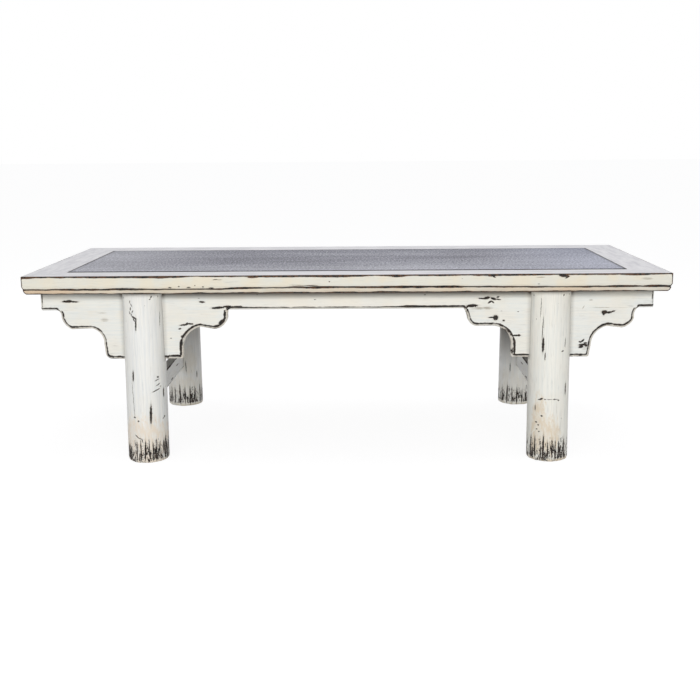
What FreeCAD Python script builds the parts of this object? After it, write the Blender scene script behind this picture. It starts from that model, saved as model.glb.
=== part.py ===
import FreeCAD, Part
import os
import Sketcher
from FreeCAD import Placement, Rotation, Vector

# A low recessed-leg table: a mitred top frame round a floating panel, on four round legs
# whose slotted tops hold a straight apron and one shaped spandrel board each.
# Millimetres. X runs along the table, Y from front to back, Z up from the floor.

doc = FreeCAD.newDocument("KangTable")

dimensions = {
    # whole table
    "tableLength": 1450.0,
    "tableDepth": 626.0,
    "tableHeight": 435.0,
    # top frame, seen in section: worn arris, upright band, quirk, small bead below
    "railWidth": 81.0,
    "railThick": 42.0,
    "arrisRound": 1.6,
    "bandHeight": 21.0,
    "quirkDrop": 30.0,
    "quirkDepth": 2.0,
    "quirkHeight": 1.6,
    "bandInset": 5.0,
    "beadInset": 11.0,
    "beadBulge": 1.6,
    # mitre tenons of the long rails, each held by one peg from below
    "mitreTenonWidth": 30.0,
    "mitreTenonThick": 11.0,
    "mitreTenonRise": 8.0,
    "mitreTenonInset": 42.0,
    "mitreTenonCover": 12.0,
    "mitrePegDiameter": 8.0,
    "mitrePegInset": 25.0,
    "mitrePegHeight": 24.0,
    # floating panel and its tongue
    "panelDrop": 1.0,
    "panelThick": 14.0,
    "panelGap": 1.6,
    "tongueThick": 7.0,
    "tongueDrop": 5.0,
    "tongueReach": 8.0,
    "grooveDepth": 10.0,
    # dovetailed braces under the panel
    "braceWidth": 45.0,
    "braceHeight": 23.0,
    "braceLegInset": 65.5,
    "dovetailHeight": 4.0,
    "dovetailFlare": 3.0,
    "braceTenonWidth": 26.0,
    "braceTenonThick": 11.0,
    "braceTenonRise": 3.0,
    "braceTenonReach": 24.0,
    # round legs, leaning out a little from front to back
    "legDiameter": 95.0,
    "legEndInset": 259.5,
    "legEdgeInset": 64.0,
    "legSplay": 16.0,
    "footRound": 6.0,
    "frontTenonThick": 13.0,
    "backTenonThick": 7.0,
    "legTenonWidth": 50.0,
    "frontTenonHeight": 21.0,
    "backTenonHeight": 15.0,
    "cheekLedge": 3.0,
    # aprons and spandrels
    "apronThick": 22.0,
    "apronHeight": 43.5,
    "apronSetback": 49.5,
    "apronEndInset": 26.0,
    "edgeBevel": 5.0,
    "spandrelDrop": 114.0,
    "wingReach": 200.0,
    "wingEndMargin": 33.5,
    "stubThick": 8.0,
    "stubReach": 9.0,
    "apronDowelDiameter": 9.0,
    "apronDowelReach": 18.0,
    "apronDowelInset": 139.0,
    "spandrelDowelDiameter": 6.0,
    "spandrelDowelReach": 20.0,
    # stretchers between the front and back leg of each end
    "stretcherTop": 159.0,
    "stretcherHeight": 46.0,
    "stretcherThick": 22.0,
    "stretcherShift": 6.0,
    "stretcherHousing": 7.0,
    "stretcherTenonThick": 10.0,
    "stretcherTenonHeight": 34.0,
    "stretcherTenonReach": 26.0,
    "stretcherPegDiameter": 8.0,
    "stretcherPegInset": 13.0,
    # clearances
    "fitGap": 0.1,
    "endGap": 0.8,
    "overrun": 10.0,
}

# The lower edge of a spandrel, from the leg outwards, each wing as it was sawn by hand.
# Across is a share of the wing's reach from the leg's middle, up is a share of spandrelDrop
# from the board's lower edge, and the heel's rounding is a share of spandrelDrop.
wingShares = {
    "outerLeft": {"heel": 0.460, "heelRound": 0.140, "biteStart": (0.470, 0.320),
                  "biteMiddle": (0.505, 0.518), "biteEnd": (0.600, 0.627),
                  "lobeLow": (0.832, 0.612), "lobeMiddle": (0.902, 0.702),
                  "lobeSide": (0.946, 0.860), "tip": (0.985, 1.0)},
    "innerLeft": {"heel": 0.442, "heelRound": 0.030, "biteStart": (0.445, 0.232),
                  "biteMiddle": (0.520, 0.522), "biteEnd": (0.655, 0.649),
                  "lobeLow": (0.810, 0.605), "lobeMiddle": (0.925, 0.697),
                  "lobeSide": (0.968, 0.838), "tip": (0.978, 1.0)},
    "innerRight": {"heel": 0.438, "heelRound": 0.030, "biteStart": (0.436, 0.285),
                   "biteMiddle": (0.495, 0.513), "biteEnd": (0.645, 0.640),
                   "lobeLow": (0.800, 0.640), "lobeMiddle": (0.888, 0.667),
                   "lobeSide": (0.942, 0.790), "tip": (0.985, 1.0)},
    "outerRight": {"heel": 0.455, "heelRound": 0.030, "biteStart": (0.478, 0.237),
                   "biteMiddle": (0.525, 0.482), "biteEnd": (0.650, 0.623),
                   "lobeLow": (0.820, 0.588), "lobeMiddle": (0.915, 0.671),
                   "lobeSide": (0.960, 0.798), "tip": (1.0, 1.0)},
}
# How far each point moves in towards the leg and up, as shares of the bevel, to give its upper edge.
insetShares = {"biteStart": (1.0, 0.0), "biteMiddle": (0.75, 0.66), "biteEnd": (0.2, 1.0),
               "lobeLow": (0.0, 1.0), "lobeMiddle": (0.6, 0.8), "lobeSide": (0.95, 0.3), "tip": (1.0, 0.0)}
roundMiddleShare = 1 - 0.5 ** 0.5     # where a quarter round crosses its corner's diagonal
wingDowelShare = 0.65                 # how far out along a wing its dowel stands

sheet = doc.addObject("Spreadsheet::Sheet", "Sizes")
for row, (alias, value) in enumerate(dimensions.items(), 1):
    sheet.set(f"A{row}", alias)
    sheet.set(f"B{row}", str(value))
    sheet.setAlias(f"B{row}", alias)


class Size:
    """A length together with the sheet expression that gives it."""

    def __init__(self, value, text):
        self.value = value
        self.text = text

    def combine(self, sign, other, value):
        text = other.text if isinstance(other, Size) else repr(float(other))
        return Size(value, f"({self.text} {sign} {text})")

    def __add__(self, other):
        return self.combine("+", other, self.value + number(other))

    def __sub__(self, other):
        return self.combine("-", other, self.value - number(other))

    def __mul__(self, other):
        return self.combine("*", other, self.value * number(other))

    def __truediv__(self, other):
        return self.combine("/", other, self.value / number(other))

    def __neg__(self):
        return self * -1


def number(item):
    return item.value if isinstance(item, Size) else item


def size(alias):
    return Size(dimensions[alias], "Sizes." + alias)


def halfChord(radius, away):
    """Half the chord of a circle, at a distance from its middle."""
    value = (radius.value ** 2 - away.value ** 2) ** 0.5
    return Size(value, f"sqrt({radius.text} ^ 2 - {away.text} ^ 2)")


zero = Size(0.0, "0")

# Places that more than one piece shares
halfLength = size("tableLength") / 2
halfDepth = size("tableDepth") / 2
topZ = size("tableHeight")
underZ = topZ - size("railThick")
innerEndX = halfLength - size("railWidth")
innerSideY = halfDepth - size("railWidth")
panelTopZ = topZ - size("panelDrop")
panelUnderZ = panelTopZ - size("panelThick")
tongueTopZ = topZ - size("tongueDrop")
tongueUnderZ = tongueTopZ - size("tongueThick")
braceUnderZ = panelUnderZ - size("braceHeight")
mitreTenonZ = underZ + size("mitreTenonRise")
mitreTenonSideY = halfDepth - size("mitreTenonInset")
mitreTenonTipX = halfLength - size("mitreTenonCover")
mitrePegX = halfLength - size("mitrePegInset")
mitrePegY = mitreTenonSideY - size("mitreTenonWidth") / 2
braceTenonZ = braceUnderZ + size("braceTenonRise")
braceTenonTipY = innerSideY + size("braceTenonReach")
legX = halfLength - size("legEndInset")
legTopY = halfDepth - size("legEdgeInset")
legFootY = legTopY + size("legSplay")
legRadius = size("legDiameter") / 2
apronFaceY = halfDepth - size("apronSetback")
apronBackY = apronFaceY - size("apronThick")
apronMiddleY = apronFaceY - size("apronThick") / 2
apronUnderZ = underZ - size("apronHeight")
apronEndX = halfLength - size("apronEndInset")
apronDowelX = apronEndX - size("apronDowelInset")
braceX = legX - size("braceLegInset")
outerWingReach = apronEndX - legX - size("wingEndMargin")
spandrelUnderZ = apronUnderZ - size("spandrelDrop")
frontTenonInnerY = apronFaceY + size("cheekLedge")
frontTenonOuterY = frontTenonInnerY + size("frontTenonThick")
backTenonOuterY = apronBackY - size("fitGap")
backTenonInnerY = backTenonOuterY - size("backTenonThick")
stretcherUnderZ = size("stretcherTop") - size("stretcherHeight")
stretcherMiddleZ = size("stretcherTop") - size("stretcherHeight") / 2
stretcherX = legX + size("stretcherShift")
stretcherLegY = legFootY - size("legSplay") * (stretcherMiddleZ / underZ)
stretcherEndY = stretcherLegY - legRadius + size("stretcherHousing")
stretcherTipY = stretcherEndY + size("stretcherTenonReach")
stretcherPegY = stretcherEndY + size("stretcherPegInset")
pegOuterX = legX + halfChord(legRadius, stretcherLegY - stretcherPegY + size("stretcherPegDiameter") / 2)
pegInnerX = stretcherX - size("stretcherThick")

parts = []


def newBody(label, turned=False):
    """A body for one piece. A turned one is the same piece at the far side of the table."""
    body = doc.addObject("PartDesign::Body", label)
    body.Label = label
    body.Placement = Placement(Vector(), Rotation(Vector(0, 0, 1), 180 if turned else 0))
    parts.append(body)
    return body


def attachedSketch(body, name, plane, height):
    sketch = body.newObject("Sketcher::SketchObject", name)
    planes = [item for item in body.Origin.OriginFeatures if item.Role == plane]
    sketch.AttachmentSupport = [(planes[0], "")]
    sketch.MapMode = "FlatFace"
    sketch.AttachmentOffset = Placement(Vector(0, 0, height.value), Rotation())
    sketch.setExpression("AttachmentOffset.Base.z", height.text)
    return sketch


def bindPoint(sketch, geometry, position, place):
    """Holds one point of the sketch at a place given by two sizes."""
    for kind, length in zip(("DistanceX", "DistanceY"), place):
        index = sketch.addConstraint(
            Sketcher.Constraint(kind, -1, 1, geometry, position, length.value))
        sketch.setExpression(f"Constraints[{index}]", length.text)


def outlineSketch(body, name, plane, height, outlines):
    """Closed outlines. A point is a pair of sizes; an arc runs through a point marked 'via'."""
    sketch = attachedSketch(body, name, plane, height)
    for outline in outlines:
        corners = [(index, step) for index, step in enumerate(outline) if len(step) == 2]
        first = None
        last = None
        for place, (index, start) in enumerate(corners):
            end = corners[(place + 1) % len(corners)][1]
            between = outline[(index + 1) % len(outline)]
            points = [Vector(start[0].value, start[1].value, 0), Vector(end[0].value, end[1].value, 0)]
            startMark, endMark = 1, 2
            if len(between) == 3:
                middle = Vector(between[1].value, between[2].value, 0)
                turn = (middle - points[0]).cross(points[1] - middle).z
                geometry = sketch.addGeometry(Part.Arc(points[0], middle, points[1]), False)
                if turn < 0:
                    startMark, endMark = 2, 1
                anchor = sketch.addGeometry(Part.Point(middle), True)
                bindPoint(sketch, anchor, 1, between[1:])
                sketch.addConstraint(Sketcher.Constraint("PointOnObject", anchor, 1, geometry))
            else:
                geometry = sketch.addGeometry(Part.LineSegment(*points), False)
            bindPoint(sketch, geometry, startMark, start)
            if last is not None:
                sketch.addConstraint(Sketcher.Constraint("Coincident", *last, geometry, startMark))
            else:
                first = (geometry, startMark)
            last = (geometry, endMark)
        sketch.addConstraint(Sketcher.Constraint("Coincident", *last, *first))
    return sketch


def circleSketch(body, name, plane, height, centres, diameter):
    sketch = attachedSketch(body, name, plane, height)
    radius = diameter / 2
    for centre in centres:
        middle = Vector(centre[0].value, centre[1].value, 0)
        geometry = sketch.addGeometry(Part.Circle(middle, Vector(0, 0, 1), radius.value), False)
        index = sketch.addConstraint(Sketcher.Constraint("Radius", geometry, radius.value))
        sketch.setExpression(f"Constraints[{index}]", radius.text)
        bindPoint(sketch, geometry, 3, centre)
    return sketch


def rectangle(lowX, highX, lowY, highY):
    return [(lowX, lowY), (highX, lowY), (highX, highY), (lowX, highY)]


def pad(body, sketch, length, symmetric=False):
    feature = body.newObject("PartDesign::Pad", sketch.Name + "Pad")
    feature.Profile = sketch
    feature.Length = length.value
    feature.setExpression("Length", length.text)
    if symmetric:
        feature.SideType = "Symmetric"
    doc.recompute()
    return feature


def pocket(body, sketch, length=None, symmetric=False):
    """Cuts along the sketch's own normal, or right through both ways when no length is given."""
    before = body.Shape.Volume
    feature = body.newObject("PartDesign::Pocket", sketch.Name + "Pocket")
    feature.Profile = sketch
    if length is None:
        feature.Type = "ThroughAll"
        feature.SideType = "Symmetric"
    else:
        feature.Length = length.value
        feature.setExpression("Length", length.text)
        if symmetric:
            feature.SideType = "Symmetric"
        else:
            feature.Reversed = True
    doc.recompute()
    if not body.Shape.Volume < before:
        raise RuntimeError(f"{feature.Label} cuts nothing")
    return feature


def addBlocks(body, name, lowZ, height, outlines):
    return pad(body, outlineSketch(body, name, "XY_Plane", lowZ, outlines), height)


def cutBlocks(body, name, lowZ, height, outlines):
    return pocket(body, outlineSketch(body, name, "XY_Plane", lowZ, outlines), height)


def bevel(body, base, edgeNames, length, name):
    feature = body.newObject("PartDesign::Chamfer", name)
    feature.Base = (base, edgeNames)
    feature.Size = length.value
    feature.setExpression("Size", length.text)
    doc.recompute()
    return feature


def edgesWhere(feature, test):
    return [f"Edge{index}" for index, edge in enumerate(feature.Shape.Edges, 1) if test(edge)]


def lies(edge, axis, place):
    """True where the whole edge keeps one coordinate."""
    near = size("fitGap").value
    return all(abs(getattr(point, axis) - place.value) < near for point in edge.discretize(5))


def framePoint(outward, inset, drop):
    """A point of the frame's section, by its distance in from the edge and down from the top."""
    return (outward + inset, topZ - drop)


def frameSection(edge):
    """Section of a rail whose outer edge is at -edge: moulded outside, grooved inside."""
    outer = -edge
    width = size("railWidth")
    arris = size("arrisRound")
    corner = arris * roundMiddleShare
    bandEnd = size("quirkDrop") - size("quirkHeight")
    grooveTop = size("tongueDrop") - size("fitGap")
    grooveFloor = size("tongueDrop") + size("tongueThick")
    grooveWall = width - size("grooveDepth")
    beadDrop = (size("quirkDrop") + size("railThick")) / 2
    beadMiddle = (size("bandInset") + size("beadInset")) / 2 - size("beadBulge")
    return [
        framePoint(outer, arris, zero),
        framePoint(outer, width, zero),
        framePoint(outer, width, grooveTop),
        framePoint(outer, grooveWall, grooveTop),
        framePoint(outer, grooveWall, grooveFloor),
        framePoint(outer, width, grooveFloor),
        framePoint(outer, width, size("railThick")),
        framePoint(outer, size("beadInset"), size("railThick")),
        ("via",) + framePoint(outer, beadMiddle, beadDrop),
        framePoint(outer, size("bandInset"), size("quirkDrop")),
        framePoint(outer, size("bandInset") + size("quirkDepth"), size("quirkDrop")),
        framePoint(outer, size("bandInset"), bandEnd),
        ("via",) + framePoint(outer, size("bandInset") / 3, (size("bandHeight") + bandEnd) / 2),
        framePoint(outer, zero, size("bandHeight")),
        framePoint(outer, zero, arris),
        ("via",) + framePoint(outer, corner, corner),
    ]


def mitreWaste(across, along):
    """The two triangles that a rail loses at its mitred ends, the rail's edge being at -along."""
    extra = size("overrun")
    inside = size("railWidth")
    return [[(-(across + extra), -(along + extra)),
             (-(across - inside - extra), -(along - inside - extra)),
             (-(across + extra), -(along - inside - extra))],
            [(across + extra, -(along + extra)),
             (across + extra, -(along - inside - extra)),
             (across - inside - extra, -(along - inside - extra))]]


def bothSides(low, high, lowY, highY):
    """A block and its mirror image across the table's middle."""
    return [rectangle(low, high, lowY, highY), rectangle(-high, -low, lowY, highY)]


def longRail(label, turned):
    body = newBody(label, turned)
    fit = size("fitGap")
    section = outlineSketch(body, label + "Section", "YZ_Plane", zero, [frameSection(halfDepth)])
    pad(body, section, size("tableLength"), symmetric=True)
    waste = outlineSketch(body, label + "Mitre", "XY_Plane", zero, mitreWaste(halfLength, halfDepth))
    pocket(body, waste)
    tenonRoot = innerEndX - size("overrun")
    tenonY = -mitreTenonSideY, -(mitreTenonSideY - size("mitreTenonWidth"))
    addBlocks(body, label + "Tenons", mitreTenonZ, size("mitreTenonThick"),
              bothSides(tenonRoot, mitreTenonTipX, *tenonY))
    pegs = circleSketch(body, label + "PegHoles", "XY_Plane", underZ,
                        [(mitrePegX, -mitrePegY), (-mitrePegX, -mitrePegY)],
                        size("mitrePegDiameter") + fit * 2)
    pocket(body, pegs, size("mitrePegHeight"))
    halfWidth = size("legTenonWidth") / 2 + fit
    cutBlocks(body, label + "FrontMortises", underZ, size("frontTenonHeight") + size("endGap"),
              bothSides(legX - halfWidth, legX + halfWidth,
                        -(frontTenonOuterY + fit), -(frontTenonInnerY - fit)))
    cutBlocks(body, label + "BackMortises", underZ, size("backTenonHeight") + size("endGap"),
              bothSides(legX - halfWidth, legX + halfWidth,
                        -(backTenonOuterY + fit), -(backTenonInnerY - fit)))
    braceHalf = size("braceTenonWidth") / 2 + fit
    mortiseY = -(braceTenonTipY + size("endGap")), -(innerSideY - size("overrun"))
    cutBlocks(body, label + "BraceMortises", braceTenonZ, size("braceTenonThick") + fit,
              [rectangle(place - braceHalf, place + braceHalf, *mortiseY) for place in bracePlaces()])
    dowels = circleSketch(body, label + "DowelHoles", "XY_Plane", underZ,
                          [(place, -apronMiddleY) for place in apronDowelPlaces()],
                          size("apronDowelDiameter") + fit * 2)
    pocket(body, dowels, size("apronDowelReach"))
    return body


def endRail(label, turned):
    body = newBody(label, turned)
    fit = size("fitGap")
    section = outlineSketch(body, label + "Section", "XZ_Plane", zero, [frameSection(halfLength)])
    pad(body, section, size("tableDepth"), symmetric=True)
    waste = [[(y, x) for x, y in outline] for outline in mitreWaste(halfDepth, halfLength)]
    pocket(body, outlineSketch(body, label + "Mitre", "XY_Plane", zero, waste))
    innerY = mitreTenonSideY - size("mitreTenonWidth") - fit
    outerY = mitreTenonSideY + fit
    tip = -(mitreTenonTipX + size("endGap"))
    root = -(innerEndX - size("overrun"))
    cutBlocks(body, label + "Mortises", mitreTenonZ, size("mitreTenonThick") + fit,
              [rectangle(tip, root, innerY, outerY), rectangle(tip, root, -outerY, -innerY)])
    pegs = circleSketch(body, label + "PegHoles", "XY_Plane", underZ,
                        [(-mitrePegX, mitrePegY), (-mitrePegX, -mitrePegY)],
                        size("mitrePegDiameter") + fit * 2)
    pocket(body, pegs, size("mitrePegHeight"))
    return body


def bracePlaces():
    return [-braceX, zero, braceX]


def apronDowelPlaces():
    """Clear of the brace tenons: one pair outside the legs and one between the braces."""
    return [-apronDowelX, -braceX / 2, braceX / 2, apronDowelX]


def dovetailOutline(middle, grow):
    """The key on top of a brace, or its groove in the panel when it is grown a little."""
    foot = size("braceWidth") / 2 - size("dovetailFlare") + grow
    head = size("braceWidth") / 2 + grow
    top = panelUnderZ + size("dovetailHeight")
    return foot, head, top, middle


def topPanel():
    body = newBody("top_panel")
    wide = innerEndX - size("panelGap")
    deep = innerSideY - size("panelGap")
    reach = size("tongueReach")
    addBlocks(body, "PanelBoard", panelUnderZ, size("panelThick"), [rectangle(-wide, wide, -deep, deep)])
    addBlocks(body, "PanelTongue", tongueUnderZ, size("tongueThick"),
              [rectangle(-(innerEndX + reach), innerEndX + reach,
                         -(innerSideY + reach), innerSideY + reach)])
    grooves = []
    for place in bracePlaces():
        foot, head, top, middle = dovetailOutline(place, size("fitGap"))
        below = panelUnderZ - size("overrun")
        grooves.append([(middle - foot, below), (middle + foot, below), (middle + foot, panelUnderZ),
                        (middle + head, top), (middle - head, top), (middle - foot, panelUnderZ)])
    pocket(body, outlineSketch(body, "PanelDovetails", "XZ_Plane", zero, grooves))
    return body


def brace(label, place):
    body = newBody(label)
    foot, head, top, middle = dovetailOutline(place, zero)
    half = size("braceWidth") / 2
    outline = [(middle - half, braceUnderZ), (middle + half, braceUnderZ), (middle + half, panelUnderZ),
               (middle + foot, panelUnderZ), (middle + head, top), (middle - head, top),
               (middle - foot, panelUnderZ), (middle - half, panelUnderZ)]
    section = outlineSketch(body, label + "Section", "XZ_Plane", zero, [outline])
    pad(body, section, (innerSideY - size("fitGap")) * 2, symmetric=True)
    halfTenon = size("braceTenonWidth") / 2
    addBlocks(body, label + "Tenons", braceTenonZ, size("braceTenonThick"),
              [rectangle(middle - halfTenon, middle + halfTenon, -braceTenonTipY, braceTenonTipY)])
    return body


def leg(label, side, turned):
    """The front leg on one side, -1 for left. Turned about, it is the back leg across the table."""
    body = newBody(label, turned)
    fit = size("fitGap")
    middle = legX * side
    foot = circleSketch(body, label + "Foot", "XY_Plane", zero, [(middle, -legFootY)], size("legDiameter"))
    shaft = body.newObject("PartDesign::Pad", label + "Shaft")
    shaft.Profile = foot
    shaft.UseCustomVector = True
    shaft.AlongSketchNormal = True
    shaft.Direction = Vector(0, size("legSplay").value, underZ.value)
    shaft.setExpression("Direction.y", size("legSplay").text)
    shaft.setExpression("Direction.z", underZ.text)
    shaft.Length = underZ.value
    shaft.setExpression("Length", underZ.text)
    doc.recompute()
    rounding = body.newObject("PartDesign::Fillet", label + "Round")
    rounding.Base = (shaft, edgesWhere(shaft, lambda edge: lies(edge, "z", zero)))
    rounding.Radius = size("footRound").value
    rounding.setExpression("Radius", size("footRound").text)
    doc.recompute()
    wide = legRadius + size("overrun")
    cutBlocks(body, label + "Slot", spandrelUnderZ, underZ - spandrelUnderZ + size("overrun"),
              [rectangle(middle - wide, middle + wide, -apronFaceY, -apronBackY)])
    half = size("legTenonWidth") / 2
    root = size("overrun") / 2
    addBlocks(body, label + "FrontTenon", underZ - root, size("frontTenonHeight") + root,
              [rectangle(middle - half, middle + half, -frontTenonOuterY, -frontTenonInnerY)])
    addBlocks(body, label + "BackTenon", underZ - root, size("backTenonHeight") + root,
              [rectangle(middle - half, middle + half, -backTenonOuterY, -backTenonInnerY)])
    across = stretcherX * side
    housing = size("stretcherThick") / 2 + fit
    inside = -(stretcherEndY - legRadius)
    cutBlocks(body, label + "Housing", stretcherUnderZ, size("stretcherHeight") + fit,
              [rectangle(across - housing, across + housing, -(stretcherEndY + fit), inside)])
    tenon = size("stretcherTenonThick") / 2 + fit
    cutBlocks(body, label + "Mortise", stretcherMiddleZ - size("stretcherTenonHeight") / 2,
              size("stretcherTenonHeight") + fit,
              [rectangle(across - tenon, across + tenon, -(stretcherTipY + size("endGap")), inside)])
    hole = circleSketch(body, label + "PegHole", "YZ_Plane", pegInnerX * side,
                        [(-stretcherPegY, stretcherMiddleZ)], size("stretcherPegDiameter") + fit * 2)
    drill = body.newObject("PartDesign::Pocket", label + "PegDrill")
    drill.Profile = hole
    drill.Type = "ThroughAll"
    drill.Reversed = side > 0
    doc.recompute()
    return body


def apron(label, turned):
    body = newBody(label, turned)
    fit = size("fitGap")
    board = addBlocks(body, label + "Board", apronUnderZ, size("apronHeight"),
                      [rectangle(-apronEndX, apronEndX, -apronFaceY, -apronBackY)])
    ends = edgesWhere(board, lambda edge: lies(edge, "y", -apronFaceY) and
                      (lies(edge, "x", apronEndX) or lies(edge, "x", -apronEndX)))
    bevel(body, board, ends, size("edgeBevel"), label + "EndBevel")
    extra = size("overrun")
    low = size("edgeBevel")
    wedge = [(-(apronFaceY + extra), apronUnderZ + low + extra),
             (-(apronFaceY + extra), apronUnderZ - extra),
             (-(apronFaceY - low - extra), apronUnderZ - extra)]
    for index, (start, end) in enumerate(freeStretches(), 1):
        lower = outlineSketch(body, f"{label}Wedge{index}", "YZ_Plane", start, [wedge])
        pocket(body, lower, end - start)
    stubHalf = size("stubThick") / 2 + fit
    stubMiddle = apronEndX - size("apronThick") / 2
    cutBlocks(body, label + "Housings", apronUnderZ + size("edgeBevel") * 2, size("apronHeight"),
              bothSides(stubMiddle - stubHalf, stubMiddle + stubHalf,
                        -(apronBackY + size("stubReach") + size("endGap")),
                        -(apronBackY - size("overrun"))))
    upper = circleSketch(body, label + "UpperHoles", "XY_Plane", underZ - size("apronDowelReach"),
                         [(place, -apronMiddleY) for place in apronDowelPlaces()],
                         size("apronDowelDiameter") + fit * 2)
    pocket(body, upper, size("apronDowelReach") + size("overrun"))
    lower = circleSketch(body, label + "LowerHoles", "XY_Plane", apronUnderZ,
                         [(place, -apronMiddleY) for place in spandrelDowelPlaces()],
                         size("spandrelDowelDiameter") + fit * 2)
    pocket(body, lower, size("spandrelDowelReach"))
    return body


def wingLength(name):
    """An outer wing ends short of the apron's end, and an inner one has a reach of its own."""
    return outerWingReach if name.startswith("outer") else size("wingReach")


def wingTip(name):
    return wingLength(name) * wingShares[name]["tip"][0]


def wingDowel(name):
    return wingLength(name) * wingDowelShare


def freeStretches():
    """Where no spandrel meets the apron's underside, and its lower edge is bevelled."""
    return [(-(apronEndX + size("overrun")), -(legX + wingTip("outerLeft"))),
            (-(legX - wingTip("innerLeft")), legX - wingTip("innerRight")),
            (legX + wingTip("outerRight"), apronEndX + size("overrun"))]


def spandrelDowelPlaces():
    return [-(legX + wingDowel("outerLeft")), -(legX - wingDowel("innerLeft")),
            legX - wingDowel("innerRight"), legX + wingDowel("outerRight")]


def wingPoints(middle, hand, wing, inset):
    """One wing's lower edge, from the leg out to the tip under the apron, drawn in by an inset."""
    shares = wingShares[wing]
    reach = wingLength(wing) * hand
    drop = size("spandrelDrop")
    rounding = drop * shares["heelRound"]
    heel = middle + reach * shares["heel"] - inset * hand
    base = spandrelUnderZ + inset

    def place(name):
        across, up = shares[name]
        inward, upward = insetShares[name]
        return (middle + reach * across - inset * (inward * hand),
                spandrelUnderZ + drop * up + inset * upward)

    def via(name):
        return ("via",) + place(name)

    corner = rounding * roundMiddleShare
    return [(heel - rounding * hand, base),
            ("via", heel - corner * hand, base + corner),
            (heel, base + rounding),
            place("biteStart"), via("biteMiddle"), place("biteEnd"),
            place("lobeLow"), via("lobeMiddle"), place("lobeSide"), place("tip")]


def spandrel(label, side, leftWing, rightWing, turned):
    """The board that passes through one leg's slot, with a shaped wing on each side."""
    body = newBody(label, turned)
    middle = legX * side

    def outline(inset):
        left = wingPoints(middle, -1, leftWing, inset)
        return wingPoints(middle, 1, rightWing, inset) + left[::-1]

    bevelStart = apronFaceY - size("edgeBevel")
    back = outlineSketch(body, label + "Back", "XZ_Plane", apronBackY, [outline(zero)])
    pad(body, back, size("apronThick") - size("edgeBevel"))
    outer = outlineSketch(body, label + "Outer", "XZ_Plane", bevelStart, [outline(zero)])
    inner = outlineSketch(body, label + "Inner", "XZ_Plane", apronFaceY, [outline(size("edgeBevel"))])
    face = body.newObject("PartDesign::AdditiveLoft", label + "Bevel")
    face.Profile = outer
    face.Sections = [inner]
    face.Ruled = True
    doc.recompute()
    dowels = [middle - wingDowel(leftWing), middle + wingDowel(rightWing)]
    holes = circleSketch(body, label + "Holes", "XY_Plane", apronUnderZ - size("spandrelDowelReach"),
                         [(place, -apronMiddleY) for place in dowels],
                         size("spandrelDowelDiameter") + size("fitGap") * 2)
    pocket(body, holes, size("spandrelDowelReach") + size("overrun"))
    return body


def endApron(label, turned):
    """Closes the end between the two long aprons, under the end rail."""
    body = newBody(label, turned)
    board = addBlocks(body, label + "Board", apronUnderZ, size("apronHeight"),
                      [rectangle(-apronEndX, -(apronEndX - size("apronThick")), -apronBackY, apronBackY)])
    outer = edgesWhere(board, lambda edge: lies(edge, "x", -apronEndX) and lies(edge, "z", apronUnderZ))
    bevel(body, board, outer, size("edgeBevel"), label + "Bevel")
    stubHalf = size("stubThick") / 2
    stubMiddle = -(apronEndX - size("apronThick") / 2)
    stubTip = apronBackY + size("stubReach")
    stubLowZ = apronUnderZ + size("edgeBevel") * 2
    addBlocks(body, label + "Stubs", stubLowZ, underZ - stubLowZ,
              [rectangle(stubMiddle - stubHalf, stubMiddle + stubHalf, -stubTip, stubTip)])
    return body


def sideStretcher(label, turned):
    body = newBody(label, turned)
    across = -stretcherX
    half = size("stretcherThick") / 2
    addBlocks(body, label + "Bar", stretcherUnderZ, size("stretcherHeight"),
              [rectangle(across - half, across + half, -stretcherEndY, stretcherEndY)])
    tenon = size("stretcherTenonThick") / 2
    addBlocks(body, label + "Tenons", stretcherMiddleZ - size("stretcherTenonHeight") / 2,
              size("stretcherTenonHeight"),
              [rectangle(across - tenon, across + tenon, -stretcherTipY, stretcherTipY)])
    holes = circleSketch(body, label + "PegHoles", "YZ_Plane", across,
                         [(-stretcherPegY, stretcherMiddleZ), (stretcherPegY, stretcherMiddleZ)],
                         size("stretcherPegDiameter") + size("fitGap") * 2)
    pocket(body, holes)
    return body


def pegGroup(label, diameter, length, places, alongX=False):
    """Identical pegs in one node, each its own solid, given by its lower or left end."""
    pegs = []
    for index, place in enumerate(places, 1):
        peg = doc.addObject("Part::Cylinder", f"{label}{index}")
        peg.Radius = diameter.value / 2
        peg.setExpression("Radius", (diameter / 2).text)
        peg.Height = length.value
        peg.setExpression("Height", length.text)
        turn = Rotation(Vector(0, 1, 0), 90) if alongX else Rotation()
        peg.Placement = Placement(Vector(*[item.value for item in place]), turn)
        for axis, item in zip("xyz", place):
            peg.setExpression(f"Placement.Base.{axis}", item.text)
        pegs.append(peg)
    group = doc.addObject("Part::Compound", label)
    group.Label = label
    group.Links = pegs
    group.Placement = Placement()
    parts.append(group)
    return group


def corners(across, along, height):
    return [(across * hand, along * side, height) for hand in (-1, 1) for side in (-1, 1)]


longRail("long_rail_front", False)
longRail("long_rail_back", True)
endRail("end_rail_left", False)
endRail("end_rail_right", True)
topPanel()
for braceName, bracePlace in zip(("brace_left", "brace_middle", "brace_right"), bracePlaces()):
    brace(braceName, bracePlace)
leg("leg_front_left", -1, False)
leg("leg_front_right", 1, False)
leg("leg_back_left", 1, True)
leg("leg_back_right", -1, True)
apron("apron_front", False)
apron("apron_back", True)
spandrel("spandrel_front_left", -1, "outerLeft", "innerLeft", False)
spandrel("spandrel_front_right", 1, "innerRight", "outerRight", False)
spandrel("spandrel_back_left", 1, "innerRight", "outerRight", True)
spandrel("spandrel_back_right", -1, "outerLeft", "innerLeft", True)
endApron("end_apron_left", False)
endApron("end_apron_right", True)
sideStretcher("side_stretcher_left", False)
sideStretcher("side_stretcher_right", True)
pegGroup("mitre_pegs", size("mitrePegDiameter"), size("mitrePegHeight"),
         corners(mitrePegX, mitrePegY, underZ))
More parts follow.
